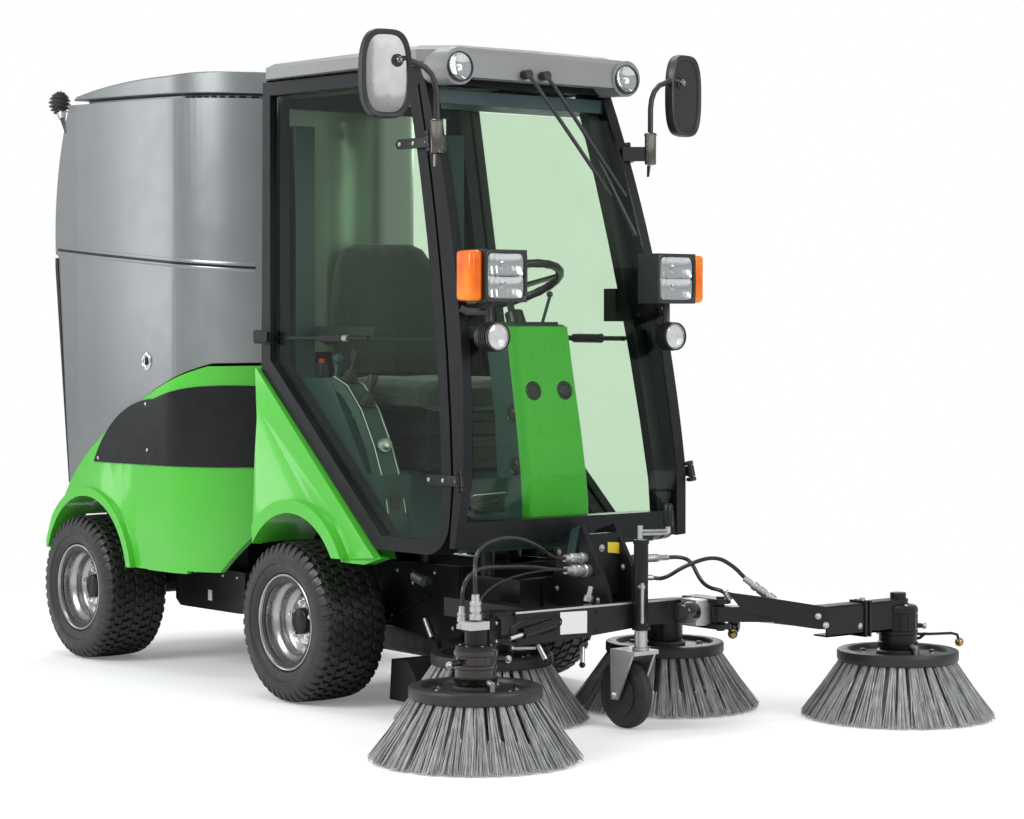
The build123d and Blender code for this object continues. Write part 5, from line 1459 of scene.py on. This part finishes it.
# ---------------------------------------------------------------- hoses
HOSES = {   # radius, arm that it ends on, and its control points from the frame's coupling to the arm's
    "hose_right_upper": (6, "arm_right", [
        (-90, -899, 491), (-148, -902, 494), (-200, -910, 500), (-280, -955, 536), (-400, -1010, 574),
        (-530, -1066, 582), (-640, -1124, 560), (-672, -1160, 505), (-672, -1163, 446), (-672, -1163, 384)]),
    "hose_right_lower": (6, "arm_right", [
        (-92, -917, 456), (-163, -925, 462), (-215, -930, 468), (-330, -970, 486), (-480, -1030, 498),
        (-610, -1090, 508), (-686, -1126, 474), (-692, -1130, 412), (-697, -1134, 362)]),
    "hose_right_thin": (3.2, "arm_right", [
        (-88, -915, 448), (-200, -935, 470), (-340, -975, 470), (-480, -1036, 462), (-590, -1095, 440),
        (-640, -1136, 412), (-648, -1146, 376)]),
    "hose_left_upper": (6, "arm_left", [
        (92, -951, 484), (194, -962, 482), (240, -968, 482), (264, -990, 470), (244, -1050, 420),
        (226, -1110, 402), (236, -1160, 398), (248, -1172, 380)]),
    "hose_left_lower": (6, "arm_left", [
        (88, -940, 429), (138, -958, 425), (174, -972, 420), (204, -1032, 464), (262, -1096, 494),
        (298, -1142, 462), (314, -1170, 428), (358, -1230, 374)]),
}


def spline_points(name, points, order=3):
    """Points along one smooth open NURBS line through its control points' hull."""
    curve = bpy.data.curves.new(name, "CURVE")
    curve.dimensions = "3D"
    line = curve.splines.new("NURBS")
    line.points.add(len(points) - 1)
    for point, place in zip(line.points, points):
        point.co = (*place, 1)
    line.order_u = order
    line.use_endpoint_u = True
    line.resolution_u = 12
    obj = bpy.data.objects.new(name, curve)
    mesh = bpy.data.meshes.new_from_object(obj)
    path = [vertex.co.copy() for vertex in mesh.vertices]
    bpy.data.objects.remove(obj)
    bpy.data.meshes.remove(mesh)
    return path


def hoses():
    """Hydraulic hoses from the tool frame's couplings to the arms."""
    for name, (radius, arm, points) in HOSES.items():
        path = spline_points(name, [at(*p) for p in points])
        shape = Shape()
        shape.sweep([(p - ORIGIN) / MM for p in path], radius, 12)
        mesh = shape.mesh(name)
        mesh.materials.append(M["hose_rubber"])
        smooth_shade(mesh, 50)
        obj = link(name, mesh)
        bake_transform(obj)


# ---------------------------------------------------------------- underside
SIDE_PLATE = [(-60, 236), (-370, 204), (-470, 224), (-470, 440), (-60, 430)]
SIDE_PLATE_X = 206
SIDE_PLATE_SCREWS = ((-150, 404), (-346, 412), (-232, 372), (-438, 250), (-120, 262))
TANK_X = 268
TANK = [(640, 338), (640, 214), (668, 196), (1060, 192), (1092, 214), (1092, 338)]
TANK_SCREWS_Y = (690, 780, 960, 1050)


def under_cab():
    """Dark side plates and cross plate under the cab, with a brace, a short cylinder and screws on them."""
    shape = Shape()
    x = SIDE_PLATE_X
    for sign in SIDES.values():
        shape.prism([(sign * x, y, z) for y, z in SIDE_PLATE], (-sign * 10, 0, 0))
        shape.bar((sign * (x + 3), -95, 240), (sign * (x + 3), -329, 345), 5, 10)
        shape.bar((sign * (x + 6), -250, 396), (sign * (x + 6), -302, 382), 17, 20, 1)
        shape.screws([(sign * x, y, z) for y, z in SIDE_PLATE_SCREWS], (sign, 0, 0), 5, 1)
        shape.bar((sign * (x + 8), -306, 268), (sign * (x + 8), -342, 214), 8, 12, 1)
    shape.box((-200, -480, 250), (200, -470, 440))
    piece("under_cab", shape, finishes=["frame_black", "cast_silver"], smooth=35)


def belly():
    """Dark tank under the rear module's rails, with a blank label and screws."""
    shape = Shape()
    shape.prism([(-TANK_X, y, z) for y, z in TANK], (2 * TANK_X, 0, 0))
    shape.box((-TANK_X - 3, 848, 226), (-TANK_X, 872, 262), 1)
    shape.screws([(-TANK_X, y, 318) for y in TANK_SCREWS_Y], (-1, 0, 0), 5, 2)
    piece("belly_tank", shape, "rear_module", finishes=["frame_black", "label_white", "cast_silver"],
          smooth=30, edge=5)


ROUNDED = {"cab_frame": 4, "door_right": 5, "door_left": 5, "cab_roof": 6, "hopper_body": 5, "hopper_lid": 8,
           "tailgate": 5, "rear_body": 4, "front_fenders": 4, "side_panels": 2, "lamp_housings": 8,
           "tool_frame": 2.5, "brush_arm_right": 3, "brush_arm_left": 3, "front_chassis": 3,
           "rear_chassis": 3, "console": 6, "steering_column": 6, "suction_mouth": 3, "seat_base": 4,
           "caster_fork": 2, "engine": 4, "cab_floor": 3}


camera()
world()
floor()
lights()
dress_nodes()
wheels_and_brushes()
lamps()
mirrors()
column_cover()
steering_wheel()
console_fittings()
door_fittings()
cab_lining()
seat()
hopper_details()
corner_lamp()
side_panel_bolts()
hitch_fittings()
beam_fittings()
caster_fittings()
right_arm_fittings()
left_arm_fittings()
hoses()
under_cab()
belly()
for node, width in ROUNDED.items():
    rounded(node, width)

bpy.context.scene.view_settings.view_transform = "Standard"
